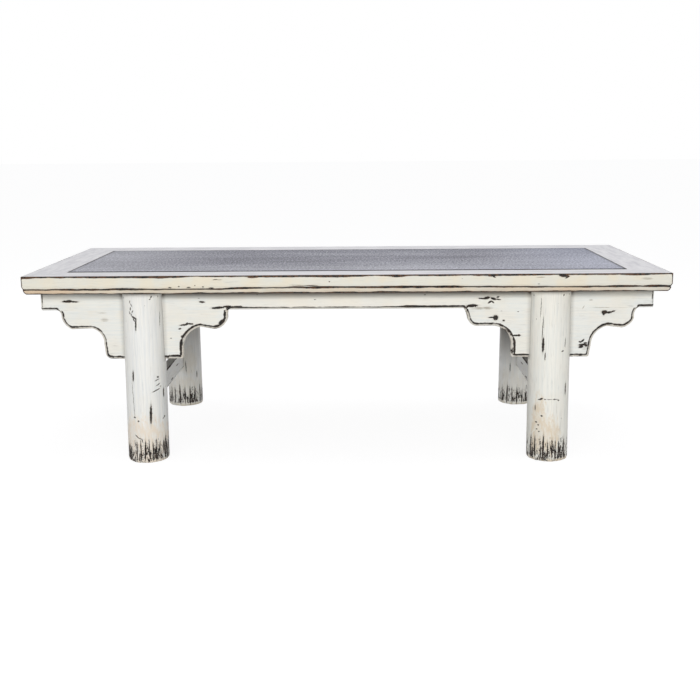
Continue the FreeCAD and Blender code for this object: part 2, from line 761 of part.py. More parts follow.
pegGroup("apron_dowels", size("apronDowelDiameter"), size("apronDowelReach") * 2,
         [(place, apronMiddleY * side, underZ - size("apronDowelReach"))
          for side in (-1, 1) for place in apronDowelPlaces()])
pegGroup("spandrel_dowels", size("spandrelDowelDiameter"), size("spandrelDowelReach") * 2,
         [(place, apronMiddleY * side, apronUnderZ - size("spandrelDowelReach"))
          for side in (-1, 1) for place in spandrelDowelPlaces()])
stretcherPegLength = pegOuterX - pegInnerX
pegGroup("stretcher_pegs", size("stretcherPegDiameter"), stretcherPegLength,
         [(left, stretcherPegY * side, stretcherMiddleZ)
          for left in (-pegOuterX, pegInnerX) for side in (-1, 1)], alongX=True)

doc.recompute()
for item in doc.Objects:
    if "Invalid" in item.State or "Error" in item.State:
        raise RuntimeError(f"{item.Label} is {item.State}")
for part in parts:
    if part.Shape.isNull() or not part.Shape.isValid():
        raise RuntimeError(f"{part.Label} has no valid shape")

os.makedirs("parts", exist_ok=True)
for part in parts:
    part.Shape.exportStep(f"parts/{part.Label}.step")
    print(f"{part.Label}: {len(part.Shape.Solids)} solid(s), {part.Shape.Volume:.0f} cubic mm")
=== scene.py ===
from math import cos, pi, radians, sin

import bpy
import numpy as np
from mathutils import Matrix, Vector, noise
from mathutils.geometry import delaunay_2d_cdt


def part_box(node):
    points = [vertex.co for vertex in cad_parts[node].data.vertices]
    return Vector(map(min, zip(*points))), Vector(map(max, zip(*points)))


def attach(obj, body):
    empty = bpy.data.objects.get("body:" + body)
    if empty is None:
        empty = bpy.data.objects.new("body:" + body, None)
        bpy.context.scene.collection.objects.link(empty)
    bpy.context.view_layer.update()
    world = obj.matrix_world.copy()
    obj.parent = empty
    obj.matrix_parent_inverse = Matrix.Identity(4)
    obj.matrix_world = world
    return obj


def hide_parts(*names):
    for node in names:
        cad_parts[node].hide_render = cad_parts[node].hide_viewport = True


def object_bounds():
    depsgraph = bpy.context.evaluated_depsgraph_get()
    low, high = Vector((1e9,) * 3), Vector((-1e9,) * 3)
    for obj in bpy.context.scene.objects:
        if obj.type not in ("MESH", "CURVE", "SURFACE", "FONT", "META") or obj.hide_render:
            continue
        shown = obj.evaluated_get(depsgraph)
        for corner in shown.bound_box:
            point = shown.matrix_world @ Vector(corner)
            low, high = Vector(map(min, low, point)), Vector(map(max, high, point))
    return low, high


# A low table in worn cream-white paint, with a slate-coloured panel let into its top.
# Metres, +Z up, X along the table. Small sizes are written in millimetres times mm.

mm = 0.001
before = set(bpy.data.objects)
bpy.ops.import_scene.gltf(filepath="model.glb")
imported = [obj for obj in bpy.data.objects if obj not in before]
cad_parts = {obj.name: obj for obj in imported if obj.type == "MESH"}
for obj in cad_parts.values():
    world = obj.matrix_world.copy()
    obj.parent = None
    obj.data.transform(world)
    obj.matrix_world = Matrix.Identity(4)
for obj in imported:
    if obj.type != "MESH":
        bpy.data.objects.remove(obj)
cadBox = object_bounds()
print("frame loaded with", len(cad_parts), "nodes")


# Places read from the frame
halfLength = cadBox[1][0]
halfDepth = cadBox[1][1]
topZ = cadBox[1][2]
railLow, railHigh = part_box("long_rail_front")
railWidth = railHigh.y - railLow.y
railThick = railHigh.z - railLow.z
underZ = railLow.z
apronLow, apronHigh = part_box("apron_front")
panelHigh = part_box("top_panel")[1]
legLow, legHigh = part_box("leg_front_left")
legRadius = (legHigh.x - legLow.x) / 2
legX = -(legLow.x + legHigh.x) / 2
legFootY = -(legLow.y + legRadius)
spandrelLow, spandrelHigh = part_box("spandrel_front_left")
stretcherLow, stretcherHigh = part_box("side_stretcher_left")
endApronLow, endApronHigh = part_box("end_apron_left")


# Small helpers for meshes

def ripple(points, reach, seed):
    # smooth noise from -1 to 1 at each point, with bumps about reach metres apart
    shift = Vector((seed * 7.31, seed * 3.17, seed * 5.77))
    return np.array([noise.noise(Vector(point) / reach + shift) for point in points])


def wavering(places, seed, parts=((0.075, 0.6), (0.024, 0.4))):
    # the same along a line, from coarse and fine waves
    spots = np.stack([places, places * 0, places * 0], 1)
    return sum(ripple(spots, reach, seed + 11 * step) * share for step, (reach, share) in enumerate(parts))


def varied(pair, waves):
    # a middle value in millimetres, and how far noise from -1 to 1 swings it
    return pair[0] + pair[1] * waves


def clampArray(values, low=0, high=1):
    return np.minimum(np.maximum(values, low), high)


def turned(points, degrees):
    angle = radians(degrees)
    spin = np.array([[cos(angle), -sin(angle), 0], [sin(angle), cos(angle), 0], [0, 0, 1]])
    return points @ spin.T


def setAttribute(mesh, name, values):
    vector = values.ndim == 2
    layer = mesh.attributes.new(name, "FLOAT_VECTOR" if vector else "FLOAT", "POINT")
    layer.data.foreach_set("vector" if vector else "value", values.astype(np.float32).ravel())


def readPoints(mesh):
    flat = np.zeros(len(mesh.vertices) * 3)
    mesh.vertices.foreach_get("co", flat)
    return flat.reshape(-1, 3)


def plainMesh(name, points, faces):
    mesh = bpy.data.meshes.new(name)
    mesh.from_pydata(points, [], faces)
    return mesh


def placeObject(name, data):
    item = bpy.data.objects.new(name, data)
    bpy.context.scene.collection.objects.link(item)
    return item


def newPiece(name, points, faces, node, material, layers, crease=32):
    # layers are values for each point, read by the material under their names
    mesh = plainMesh(name, points.tolist(), faces)
    mesh.update()
    for key, values in layers.items():
        setAttribute(mesh, key, values)
    mesh.shade_smooth()
    mesh.set_sharp_from_angle(angle=radians(crease))
    mesh.materials.append(material)
    piece = placeObject(name, mesh)
    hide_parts(node)
    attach(piece, "root")


# Small helpers for materials

def colour(red, green, blue):
    # a display colour from 0 to 255, as the shader wants it
    shares = [channel / 255 for channel in (red, green, blue)]
    return [share / 12.92 if share <= 0.04045 else ((share + 0.055) / 1.055) ** 2.4
            for share in shares] + [1.0]


def addNode(tree, kind, inputs=None, **settings):
    node = tree.nodes.new(kind)
    for key, value in settings.items():
        setattr(node, key, value)
    for key, value in (inputs or {}).items():
        if isinstance(value, bpy.types.NodeSocket):
            tree.links.new(value, node.inputs[key])
        else:
            node.inputs[key].default_value = value
    return node


def calculate(tree, operation, first, second=0.0):
    return addNode(tree, "ShaderNodeMath", {0: first, 1: second}, operation=operation).outputs[0]


def times(tree, first, second):
    return calculate(tree, "MULTIPLY", first, second)


def plus(tree, first, second):
    return calculate(tree, "ADD", first, second)


def minus(tree, first, second):
    return calculate(tree, "SUBTRACT", first, second)


def larger(tree, first, second):
    return calculate(tree, "MAXIMUM", first, second)


def vectorMath(tree, operation, first, second):
    return addNode(tree, "ShaderNodeVectorMath", {0: first, 1: second}, operation=operation).outputs[0]


def noiseAt(tree, vector, scale, detail=2.0, roughness=0.5):
    # scale is one number, or three for noise that is stretched along an axis
    if isinstance(scale, tuple):
        vector, scale = vectorMath(tree, "MULTIPLY", vector, scale), 1.0
    inputs = {"Vector": vector, "Scale": scale, "Detail": detail, "Roughness": roughness}
    return addNode(tree, "ShaderNodeTexNoise", inputs).outputs[0]


def ease(tree, value, low, high):
    # 0 below low, 1 above high
    inputs = {"Value": value, "From Min": low, "From Max": high}
    return addNode(tree, "ShaderNodeMapRange", inputs, interpolation_type="SMOOTHSTEP").outputs[0]


def blendColour(tree, share, first, second, kind="MIX"):
    node = addNode(tree, "ShaderNodeMix", {0: share, 6: first, 7: second}, data_type="RGBA", blend_type=kind)
    return node.outputs[2]


def readAttribute(tree, name, output):
    return addNode(tree, "ShaderNodeAttribute", attribute_name=name).outputs[output]


def newMaterial(name):
    material = bpy.data.materials.new(name)
    material.use_nodes = True
    return material, material.node_tree, material.node_tree.nodes["Principled BSDF"]


def addBump(tree, shader, height, strength):
    bump = addNode(tree, "ShaderNodeBump", {"Height": height, "Strength": strength, "Distance": 1.0})
    tree.links.new(bump.outputs[0], shader.inputs["Normal"])


def newGroup(name, inputs, outputs):
    # inputs have a starting value, or None for a vector; every output is one value
    tree = bpy.data.node_groups.new(name, "ShaderNodeTree")
    for label, value in inputs.items():
        kind = "NodeSocketVector" if value is None else "NodeSocketFloat"
        socket = tree.interface.new_socket(name=label, in_out="INPUT", socket_type=kind)
        if value is not None:
            socket.default_value = value
    for label in outputs:
        tree.interface.new_socket(name=label, in_out="OUTPUT", socket_type="NodeSocketFloat")
    return tree, tree.nodes.new("NodeGroupInput").outputs, tree.nodes.new("NodeGroupOutput").inputs


def placeGroup(tree, group, **inputs):
    named = {key.capitalize(): value for key, value in inputs.items()}
    return addNode(tree, "ShaderNodeGroup", named, node_tree=group).outputs


# Shared effects, each built once as a node group

# Noise scales across and along the grain, and the ranges of noise that show
brushLook = {"wide": (9.0, 210.0, 210.0), "thin": (26.0, 720.0, 720.0), "cloud": 14.0,
             "hair": (24.0, 900.0, 900.0), "hairRange": (0.6, 0.72),
             "patch": 34.0, "patchRange": (0.44, 0.6)}
rubLook = {"coarse": (70.0, 260.0, 260.0), "coarseReach": 2.6, "fine": 900.0, "fineReach": 1.1,
           "rimRange": (-1.1, 0.2)}
speckLook = {"size": 0.16, "softness": 0.03, "patch": 22.0, "patchRange": (0.48, 0.6)}
flameLook = {"tongue": (15.0, 110.0, 110.0), "sliver": (55.0, 360.0, 360.0), "pepper": 420.0,
             "shares": (0.5, 0.75, 0.4), "threshold": 0.822, "steepness": 3.0, "climb": 0.14,
             "rimHeights": (0.011, 0.002), "rimBreaks": (12.0, 60.0, 60.0), "rimShift": 0.4,
             "rimRange": (0.44, 0.56), "maskRange": (0.0, 0.014), "stainRange": (-0.1, 0.02)}


def makeBrushGroup():
    # brush marks and raised grain that run along the wood
    look = brushLook
    tree, given, result = newGroup("brushMarks", {"Grain": None, "Width": 1.0},
                                   ("Streak", "Fine", "Cloud", "Hair"))
    scaled = addNode(tree, "ShaderNodeVectorMath", {0: given["Grain"], "Scale": given["Width"]},
                     operation="SCALE").outputs[0]
    tree.links.new(noiseAt(tree, scaled, look["wide"], 3.0, 0.6), result["Streak"])
    tree.links.new(noiseAt(tree, scaled, look["thin"], 2.0, 0.55), result["Fine"])
    tree.links.new(noiseAt(tree, given["Grain"], look["cloud"], 3.0, 0.55), result["Cloud"])
    lines = ease(tree, noiseAt(tree, scaled, look["hair"], 1.0), *look["hairRange"])
    patches = ease(tree, noiseAt(tree, given["Grain"], look["patch"]), *look["patchRange"])
    tree.links.new(times(tree, lines, patches), result["Hair"])
    return tree


def makeRubGroup():
    # how far the paint is rubbed off: the mesh says by how many millimetres, noise makes it ragged
    look = rubLook
    tree, given, result = newGroup("rubbedThrough", {"Bare": 0.0, "Grain": None, "Ragged": 1.0, "Soft": 0.3},
                                   ("Mask", "Rim"))
    coarse = minus(tree, noiseAt(tree, given["Grain"], look["coarse"], 2.0, 0.6), 0.5)
    fine = minus(tree, noiseAt(tree, given["Grain"], look["fine"], 1.0), 0.5)
    both = plus(tree, times(tree, coarse, look["coarseReach"]), times(tree, fine, look["fineReach"]))
    field = plus(tree, given["Bare"], times(tree, both, given["Ragged"]))
    tree.links.new(ease(tree, field, times(tree, given["Soft"], -1.0), given["Soft"]), result["Mask"])
    tree.links.new(ease(tree, field, *look["rimRange"]), result["Rim"])
    return tree


def makeScarGroup():
    # one gouge, crack or chip: a slim ellipse on the surface, 0 at its edge and 1 in its middle
    tree, given, result = newGroup("scar", {"Face": None, "Middle": None, "Halves": None, "Tilt": 0.0},
                                   ("Field",))
    away = vectorMath(tree, "SUBTRACT", given["Face"], given["Middle"])
    turn = addNode(tree, "ShaderNodeVectorRotate", {"Vector": away, "Angle": given["Tilt"]},
                   rotation_type="Z_AXIS")
    share = vectorMath(tree, "DIVIDE", turn.outputs[0], given["Halves"])
    size = addNode(tree, "ShaderNodeVectorMath", {0: share}, operation="LENGTH")
    tree.links.new(minus(tree, 1.0, size.outputs["Value"]), result["Field"])
    return tree


def makeSpeckGroup():
    # scattered pin holes and short flecks where paint has come away
    look = speckLook
    tree, given, result = newGroup("specks", {"Grain": None, "Spread": 90.0, "Amount": 0.3, "Long": 0.5},
                                   ("Mask",))
    shape = addNode(tree, "ShaderNodeCombineXYZ", {0: given["Long"], 1: 1.0, 2: 1.0})
    place = vectorMath(tree, "MULTIPLY", given["Grain"], shape.outputs[0])
    cells = addNode(tree, "ShaderNodeTexVoronoi", {"Vector": place, "Scale": given["Spread"]})
    lot = addNode(tree, "ShaderNodeSeparateColor", {0: cells.outputs["Color"]}).outputs
    room = minus(tree, times(tree, lot[1], look["size"]), cells.outputs["Distance"])
    chosen = calculate(tree, "LESS_THAN", lot[0], given["Amount"])
    patchy = ease(tree, noiseAt(tree, given["Grain"], look["patch"]), *look["patchRange"])
    both = times(tree, ease(tree, room, 0.0, look["softness"]), chosen)
    tree.links.new(times(tree, both, patchy), result["Mask"])
    return tree


def makeFlameGroup():
    # dark upright tongues of bare wood that climb from the bottom of a foot
    look = flameLook
    tree, given, result = newGroup("footRot", {"Grain": None, "Height": 0.0, "Reach": 0.055, "Rim": 0.1},
                                   ("Mask", "Stain"))
    grain, height = given["Grain"], given["Height"]
    waves = (noiseAt(tree, grain, look["tongue"], 3.0, 0.55),
             noiseAt(tree, grain, look["sliver"], 3.0, 0.65),
             noiseAt(tree, grain, look["pepper"], 2.0, 0.6))
    mixed = 0.0
    for wave, share in zip(waves, look["shares"]):
        mixed = plus(tree, mixed, times(tree, wave, share))
    climb = calculate(tree, "POWER", calculate(tree, "DIVIDE", height, given["Reach"]), look["steepness"])
    broken = plus(tree, noiseAt(tree, grain, look["rimBreaks"]), times(tree, given["Rim"], look["rimShift"]))
    rim = times(tree, ease(tree, height, *look["rimHeights"]), ease(tree, broken, *look["rimRange"]))
    ceiling = plus(tree, times(tree, climb, look["climb"]), times(tree, rim, given["Rim"]))
    rising = minus(tree, mixed, plus(tree, ceiling, look["threshold"]))
    tree.links.new(ease(tree, rising, *look["maskRange"]), result["Mask"])
    tree.links.new(ease(tree, rising, *look["stainRange"]), result["Stain"])
    return tree


brushMarks = makeBrushGroup()
rubbedThrough = makeRubGroup()
scarShape = makeScarGroup()
specks = makeSpeckGroup()
footRot = makeFlameGroup()
print("shared effects built")


# Paint, as one recipe that each kind of piece fills with its own values

paintColours = {
    "white": (236, 235, 230),
    "cool": (222, 225, 228),
    "cream": (238, 229, 207),
    "wash": (227, 220, 204),
    "hairline": (132, 134, 140),
    "dirt": (126, 112, 92),
    "deep": (68, 57, 42),
    "brown": (88, 62, 44),
    "black": (27, 25, 24),
}


# Noise scales, the ranges of noise that show and the strength of each effect
paintLook = {
    "streakRange": (0.38, 0.66), "cloudRange": (0.42, 0.62), "fineRange": (0.56, 0.8), "rubSoft": 0.35,
    "fleckSpread": 150.0, "fleckLong": 0.35, "shakeScale": 260.0,
    "scarBreaks": 480.0, "scarShift": 0.46, "scarRagged": 0.95, "scarRange": (-0.12, 0.03),
    "scarRimRange": (-0.9, 0.1), "scarStain": 0.3,
    "veilRange": (-0.2, 0.7), "veilStreaks": (0.35, 0.6), "veilShare": 0.75,
    "washEdge": (40.0, 110.0, 110.0), "washRagged": 1.6, "washRange": (0.0, 0.35),
    "washMottle": (60.0, 150.0, 150.0), "mottleRange": (0.4, 0.6), "mottleShare": 0.6,
    "rimHeights": (0.011, 0.004), "rimBreaks": 70.0, "rimRange": (0.34, 0.5), "flameStain": 0.15,
    "bareTone": 130.0, "bareRange": (0.42, 0.58), "bareRough": 0.86,
    "paintThick": 0.35, "fineRelief": 0.1, "streakRelief": 0.16, "relief": 0.8,
}


def scarField(tree, face, scars):
    # every scar is across, up, half length, half width in millimetres and a tilt in degrees
    field = None
    for across, up, long, short, tilt in scars:
        made = placeGroup(tree, scarShape, face=face, middle=(across * mm, up * mm, 0.0),
                          halves=(long * mm, short * mm, 1.0), tilt=radians(-tilt))["Field"]
        field = made if field is None else larger(tree, field, made)
    return field


def paintedWood(name, paint, scars=(), faint=(), washes=()):
    look = {**paintLook, **paint}
    material, tree, shader = newMaterial(name)
    tint = {key: colour(*look.get(key, value)) for key, value in paintColours.items()}
    grain = readAttribute(tree, "grain", "Vector")
    face = readAttribute(tree, "face", "Vector")
    brush = placeGroup(tree, brushMarks, grain=grain, width=look["brushWidth"])
    rub = placeGroup(tree, rubbedThrough, grain=grain, bare=readAttribute(tree, "bare", "Fac"),
                     ragged=look["ragged"], soft=look["rubSoft"])

    base = blendColour(tree, ease(tree, brush["Streak"], *look["streakRange"]), tint["white"], tint["cool"])
    warmth = times(tree, ease(tree, brush["Cloud"], *look["cloudRange"]), look["warmth"])
    fine = times(tree, ease(tree, brush["Fine"], *look["fineRange"]), look["fineMarks"])
    for share, key in ((warmth, "cream"), (readAttribute(tree, "warm", "Fac"), "wash"),
                       (times(tree, brush["Hair"], look["hair"]), "hairline"), (fine, "dirt")):
        base = blendColour(tree, share, base, tint[key])

    worn, stain = rub["Mask"], times(tree, rub["Rim"], look["rimStain"])
    jitter = addNode(tree, "ShaderNodeTexNoise",
                     {"Vector": face, "Scale": look["shakeScale"], "Detail": 2.0})
    moved = vectorMath(tree, "SUBTRACT", jitter.outputs["Color"], (0.5, 0.5, 0.5))
    shake = look["scarShake"] * mm
    shaken = vectorMath(tree, "ADD", face, vectorMath(tree, "MULTIPLY", moved, (shake, shake, 0.0)))
    if scars:
        broken = minus(tree, noiseAt(tree, grain, look["scarBreaks"], 3.0, 0.7), look["scarShift"])
        field = plus(tree, scarField(tree, shaken, scars), times(tree, broken, look["scarRagged"]))
        worn = larger(tree, worn, ease(tree, field, *look["scarRange"]))
        stain = larger(tree, stain, times(tree, ease(tree, field, *look["scarRimRange"]), look["scarStain"]))
    if faint:
        veil = times(tree, ease(tree, scarField(tree, shaken, faint), *look["veilRange"]),
                     ease(tree, brush["Fine"], *look["veilStreaks"]))
        stain = larger(tree, stain, times(tree, veil, look["veilShare"]))
    if washes:
        patchy = minus(tree, noiseAt(tree, grain, look["washEdge"], 4.0, 0.65), 0.5)
        zone = plus(tree, scarField(tree, shaken, washes), times(tree, patchy, look["washRagged"]))
        mottle = ease(tree, noiseAt(tree, grain, look["washMottle"], 5.0, 0.7), *look["mottleRange"])
        mottle = plus(tree, times(tree, mottle, look["mottleShare"]), 1 - look["mottleShare"])
        share = times(tree, ease(tree, zone, *look["washRange"]), times(tree, mottle, look["washShare"]))
        base = blendColour(tree, share, base, tint["wash"])
        height = addNode(tree, "ShaderNodeSeparateXYZ", {0: grain}).outputs[0]
        low = times(tree, ease(tree, height, *look["rimHeights"]),
                    ease(tree, noiseAt(tree, grain, look["rimBreaks"]), *look["rimRange"]))
        base = blendColour(tree, low, base, tint["wash"])
        rot = placeGroup(tree, footRot, grain=grain, height=height, reach=look["flame"], rim=look["footRim"])
        worn = larger(tree, worn, rot["Mask"])
        stain = larger(tree, stain, times(tree, rot["Stain"], look["flameStain"]))
    fleck = placeGroup(tree, specks, grain=grain, amount=look["specks"], spread=look["fleckSpread"],
                       long=look["fleckLong"])
    worn = larger(tree, worn, fleck["Mask"])

    base = blendColour(tree, stain, base, tint["dirt"])
    # darker where dirt lies, and with painted shade in joints, recesses and under the frame
    base = blendColour(tree, readAttribute(tree, "dirtAndShade", "Fac"), base, tint["deep"], "MULTIPLY")
    bareTone = ease(tree, noiseAt(tree, grain, look["bareTone"]), *look["bareRange"])
    under = blendColour(tree, times(tree, bareTone, look["brownShare"]), tint["black"], tint["brown"])
    tree.links.new(blendColour(tree, worn, base, under), shader.inputs["Base Color"])
    rough = addNode(tree, "ShaderNodeMapRange", {"Value": worn, "To Min": look["sheen"],
                                                 "To Max": look["bareRough"]})
    tree.links.new(rough.outputs[0], shader.inputs["Roughness"])
    marks = plus(tree, times(tree, brush["Fine"], look["fineRelief"]),
                 times(tree, brush["Streak"], look["streakRelief"]))
    relief = plus(tree, times(tree, worn, -look["paintThick"]), marks)
    addBump(tree, shader, times(tree, relief, mm), look["relief"])
    return material


# Top frame

railLook = {
    "arrisRound": 0.9, "bandHeight": 23.0, "quirkDrop": 30.0, "quirkDepth": 2.2, "quirkHeight": 1.6,
    "bandInset": 2.4, "beadInset": 8.0, "beadBulge": 1.8, "innerRound": 0.7, "innerDrop": 1.1,
    "grooveTop": 4.9, "grooveFloor": 12.0, "grooveDepth": 10.0, "stationGap": 4.0, "mitreGap": 0.12,
    "edgeStrip": 8.0, "underStrip": 17.0, "core": (18.0, 20.0), "wornZone": (22.0, 10.0), "slopeFrom": 24.0,
    "mitreZone": 9.0, "quirkZone": 14.0, "quirkReach": 4.0, "quirkShade": 2.6, "beadShade": (0.08, 0.12),
    "topSlant": (1.7, 0.85),
    "topWear": 2.24, "lipWear": 2.24, "beadTopWear": 2.56, "beadWear": 3.52, "cornerWear": (2.4, 2.4),
    "innerWear": (0.25, 0.5), "lineWander": 1.5, "hollow": 0.12, "toolMarks": 0.06, "wornDepth": 0.16,
    "stainSwing": 0.35,
}
# Places along the front, in metres: how low the quirk was cut and how far wear reaches from each arris, in
# millimetres, and how brown the bead is stained. The swings of the same names are in railLook.
railPlaces = {
    "sag": [
        (-0.7, 0.9), (-0.38, 1.8), (-0.28, 1.1), (-0.18, -1.1), (0.02, -1.1), (0.22, -0.7), (0.42, -0.4),
        (0.52, 1.2), (0.62, 0.7)],
    "topWear": [
        (-0.71, 4.0), (-0.66, 2.6), (-0.55, 2.4), (-0.51, 3.3), (-0.47, 2.6), (-0.42, 4.0), (-0.38, 3.6),
        (-0.34, 2.4), (-0.25, 2.0), (-0.23, 1.2), (-0.21, 2.6), (-0.1, 3.2), (-0.05, 4.3), (0.03, 4.2),
        (0.07, 1.8), (0.11, 3.0), (0.16, 3.6), (0.28, 2.6), (0.45, 2.6), (0.6, 2.0), (0.65, 3.6),
        (0.71, 2.4)],
    "lipWear": [
        (-0.7, 0.4), (-0.62, 0.5), (-0.58, 1.6), (-0.54, 1.2), (-0.47, 1.0), (-0.4, 0.4), (-0.29, 0.5),
        (-0.25, 2.6), (-0.2, 2.0), (-0.18, 0.4), (-0.15, -0.4), (-0.11, 1.8), (0.0, 3.2), (0.24, 3.5),
        (0.28, 0.8), (0.34, 0.3), (0.4, 0.7), (0.5, 0.3), (0.58, 0.3), (0.605, 2.6), (0.645, 2.8),
        (0.66, 0.6), (0.675, 2.4), (0.71, 1.0)],
    "beadTopWear": [(0.0, 1.0)],
    "beadWear": [(0.0, 4.4)],
    "stain": [
        (-0.725, 1.0), (-0.62, 0.9), (-0.58, 0.4), (-0.45, 0.3), (-0.26, 0.2), (-0.23, 0.4), (-0.19, 0.1),
        (-0.1, 0.25), (0.0, 0.5), (0.1, 0.3), (0.25, 0.35), (0.3, 0.25), (0.4, 0.5), (0.55, 0.65),
        (0.6, 0.4), (0.64, 0.15), (0.71, 0.2)],
}


def arcThrough(start, middle, end, count):
    # points along the circle through three points, without the last
    (ax, ay), (bx, by), (cx, cy) = start, middle, end
    scale = 2 * (ax * (by - cy) + bx * (cy - ay) + cx * (ay - by))
    a2, b2, c2 = ax * ax + ay * ay, bx * bx + by * by, cx * cx + cy * cy
    centre = ((a2 * (by - cy) + b2 * (cy - ay) + c2 * (ay - by)) / scale,
              (a2 * (cx - bx) + b2 * (ax - cx) + c2 * (bx - ax)) / scale)
    angles = [np.arctan2(y - centre[1], x - centre[0]) for x, y in (start, middle, end)]
    sweep = (angles[2] - angles[0] + pi) % (2 * pi) - pi
    radius = np.hypot(ax - centre[0], ay - centre[1])
    steps = angles[0] + sweep * np.arange(count) / count
    return [(centre[0] + radius * cos(step), centre[1] + radius * sin(step)) for step in steps]


def straight(start, end, gap):
    # points along a line about gap apart, without the last
    count = max(1, int(np.hypot(end[0] - start[0], end[1] - start[1]) / gap + 0.5))
    return [(start[0] + (end[0] - start[0]) * share, start[1] + (end[1] - start[1]) * share)
            for share in np.arange(count) / count]


def railSection():
    # inset from the outer edge and drop below the top, in millimetres, once round the rail
    look = railLook
    width = railWidth / mm
    thick = railThick / mm
    arris = look["arrisRound"]
    corner = arris * (1 - 0.5 ** 0.5)
    inner = look["innerRound"]
    bandEnd = look["quirkDrop"] - look["quirkHeight"]
    beadMiddle = ((look["bandInset"] + look["beadInset"]) / 2 - look["beadBulge"],
                  (look["quirkDrop"] + thick) / 2)
    lip = (look["bandInset"], bandEnd)
    beadTop = (look["bandInset"], look["quirkDrop"])
    beadEnd = (look["beadInset"], thick)
    groove = width - look["grooveDepth"]
    strip, deep = look["edgeStrip"], look["underStrip"]
    points = straight((width - inner, 0), (strip, 0), 6.0) + straight((strip, 0), (arris, 0), 1.3)
    points += arcThrough((arris, 0), (corner, corner), (0, arris), 5)
    bandLow = look["bandHeight"]
    points += straight((0, arris), (0, strip), 0.9) + straight((0, strip), (0, bandLow), 2.2)
    points += arcThrough((0, bandLow), (look["bandInset"] / 3, (bandLow + bandEnd) / 2), lip, 7)
    quirkFloor = (lip[0] + look["quirkDepth"], look["quirkDrop"])
    points += straight(lip, quirkFloor, 1.0) + straight(quirkFloor, beadTop, 1.0)
    points += arcThrough(beadTop, beadMiddle, beadEnd, 9)
    points += straight(beadEnd, (deep, thick), 1.5) + straight((deep, thick), (width, thick), 12.0)
    low, high = look["grooveFloor"], look["grooveTop"]
    corners = ((width, thick), (width, low), (groove, low), (groove, high), (width, high), (width, inner))
    for start, end, gap in zip(corners, corners[1:], (8.0, 5.0, 4.0, 5.0, 1.5)):
        points += straight(start, end, gap)
    points += arcThrough((width, inner), (width - inner * 0.3, inner * 0.3), (width - inner, 0), 3)
    return np.array(points), {"lip": lip, "beadTop": beadTop, "bead": beadEnd}


def sweepFaces(stations, around):
    # quads between neighbouring stations of a closed section, and a cap at each end
    faces = []
    for row in range(stations - 1):
        start = row * around
        for step in range(around):
            after = (step + 1) % around
            faces.append((start + step, start + after, start + around + after, start + around + step))
    last = (stations - 1) * around
    faces.append(tuple(range(around))[::-1])
    faces.append(tuple(last + step for step in range(around)))
    return faces


def makeRail(name, node, edgeAt, half, degrees, seed, material):
    look = railLook
    section, arrises = railSection()
    around = len(section)
    stations = int(2 * half / mm / look["stationGap"]) + 1
    shares = np.linspace(-1, 1, stations)
    inset = np.tile(section[:, 0], stations)
    drop = np.tile(section[:, 1], stations)
    share = np.repeat(shares, around)
    place = share * (half / mm - inset - look["mitreGap"]) * mm

    def along(kind):
        return np.interp(place, *np.transpose(railPlaces[kind]))

    def wear(kind, extra):
        return along(kind) + look[kind] * wavering(place + seed * 3.0, seed + extra)

    # how many millimetres of bare wood there are round each arris, and at the mitre's corner
    topSide = np.where(inset > drop, *look["topSlant"])
    fields = [wear("topWear", 0) - np.hypot(inset - 0.4, drop - 0.4) * topSide]
    for step, key in enumerate(("lip", "beadTop", "bead")):
        spot = arrises[key]
        fields.append(wear(key + "Wear", 1 + step) - np.hypot(inset - spot[0], drop - spot[1]))
    cornerWear = varied(look["cornerWear"], wavering(drop * mm * 2 + half, seed + 5))
    fromMitre = half / mm - inset - abs(place) / mm
    fields.append(np.where((inset < look["mitreZone"]) & (drop > 1), cornerWear - fromMitre, -9.0))
    inner = np.hypot(inset - railWidth / mm, drop)
    fields.append(varied(look["innerWear"], wavering(place, seed + 7)) - inner)
    bare = np.max(fields, axis=0)

    spots = np.stack([place, inset * mm, drop * mm], 1)
    # worn and hollowed places sink towards the core of the rail
    outer = clampArray((look["wornZone"][0] - inset) / look["wornZone"][1])
    toward = np.stack([look["core"][0] - inset, look["core"][1] - drop], 1)
    toward /= np.linalg.norm(toward, axis=1)[:, None]
    sink = outer * (look["wornDepth"] * clampArray(bare, 0, 2.5)
                    + look["hollow"] * (1 + ripple(spots, 0.055, seed))
                    + look["toolMarks"] * (1 + ripple(spots, 0.011, seed + 1)))
    flat = (drop < 0.01) * (1 - outer)
    sag = along("sag") + look["lineWander"] * wavering(place, seed + 12)
    nearQuirk = np.exp(-((drop - look["quirkDrop"]) / look["quirkReach"]) ** 2)
    wander = sag * nearQuirk * (inset < look["quirkZone"])
    inset2 = inset + toward[:, 0] * sink
    drop2 = drop + toward[:, 1] * sink + flat * look["hollow"] * (1 + ripple(spots, 0.09, seed + 2))
    slope = clampArray((inset - look["slopeFrom"]) / (railWidth / mm - look["slopeFrom"]))
    drop2 = drop2 + wander + look["innerDrop"] * slope * (drop <= look["innerRound"])
    points = np.stack([place, -edgeAt + inset2 * mm, topZ - drop2 * mm], 1)

    # painted shade in the quirk's groove, and on the bead, whose face turns down
    quirk = np.hypot(inset - look["bandInset"] - 1, drop - look["quirkDrop"] + 0.6)
    quirk = clampArray(1 - quirk / look["quirkShade"])
    onBead = (drop > look["quirkDrop"] + 0.2) & (inset < look["beadInset"] + 6)
    quirk = np.maximum(quirk, onBead * varied(look["beadShade"], wavering(place, seed + 15)))
    stained = varied((along("stain"), look["stainSwing"]), wavering(place, seed + 21))
    # marks painted on the moulded face stay off the flat top and the underside
    aside = np.where(drop < section[:, 1].max() / 2, 1, -1) * np.maximum(inset - look["beadInset"], 0)
    aside += (drop < 0.01) * np.minimum(inset, look["beadInset"])
    layers = {
        "grain": np.stack([place + seed, inset * mm, drop * mm], 1),
        "face": np.stack([place, (aside - drop) * mm, 0 * place], 1),
        "bare": bare,
        "dirtAndShade": quirk,
        "warm": onBead * clampArray(stained),
        "top": clampArray(1 - drop / 0.8) * clampArray(inset / 1.5),
    }
    newPiece(name, turned(points, degrees), sweepFaces(stations, around), node,
             material, layers)


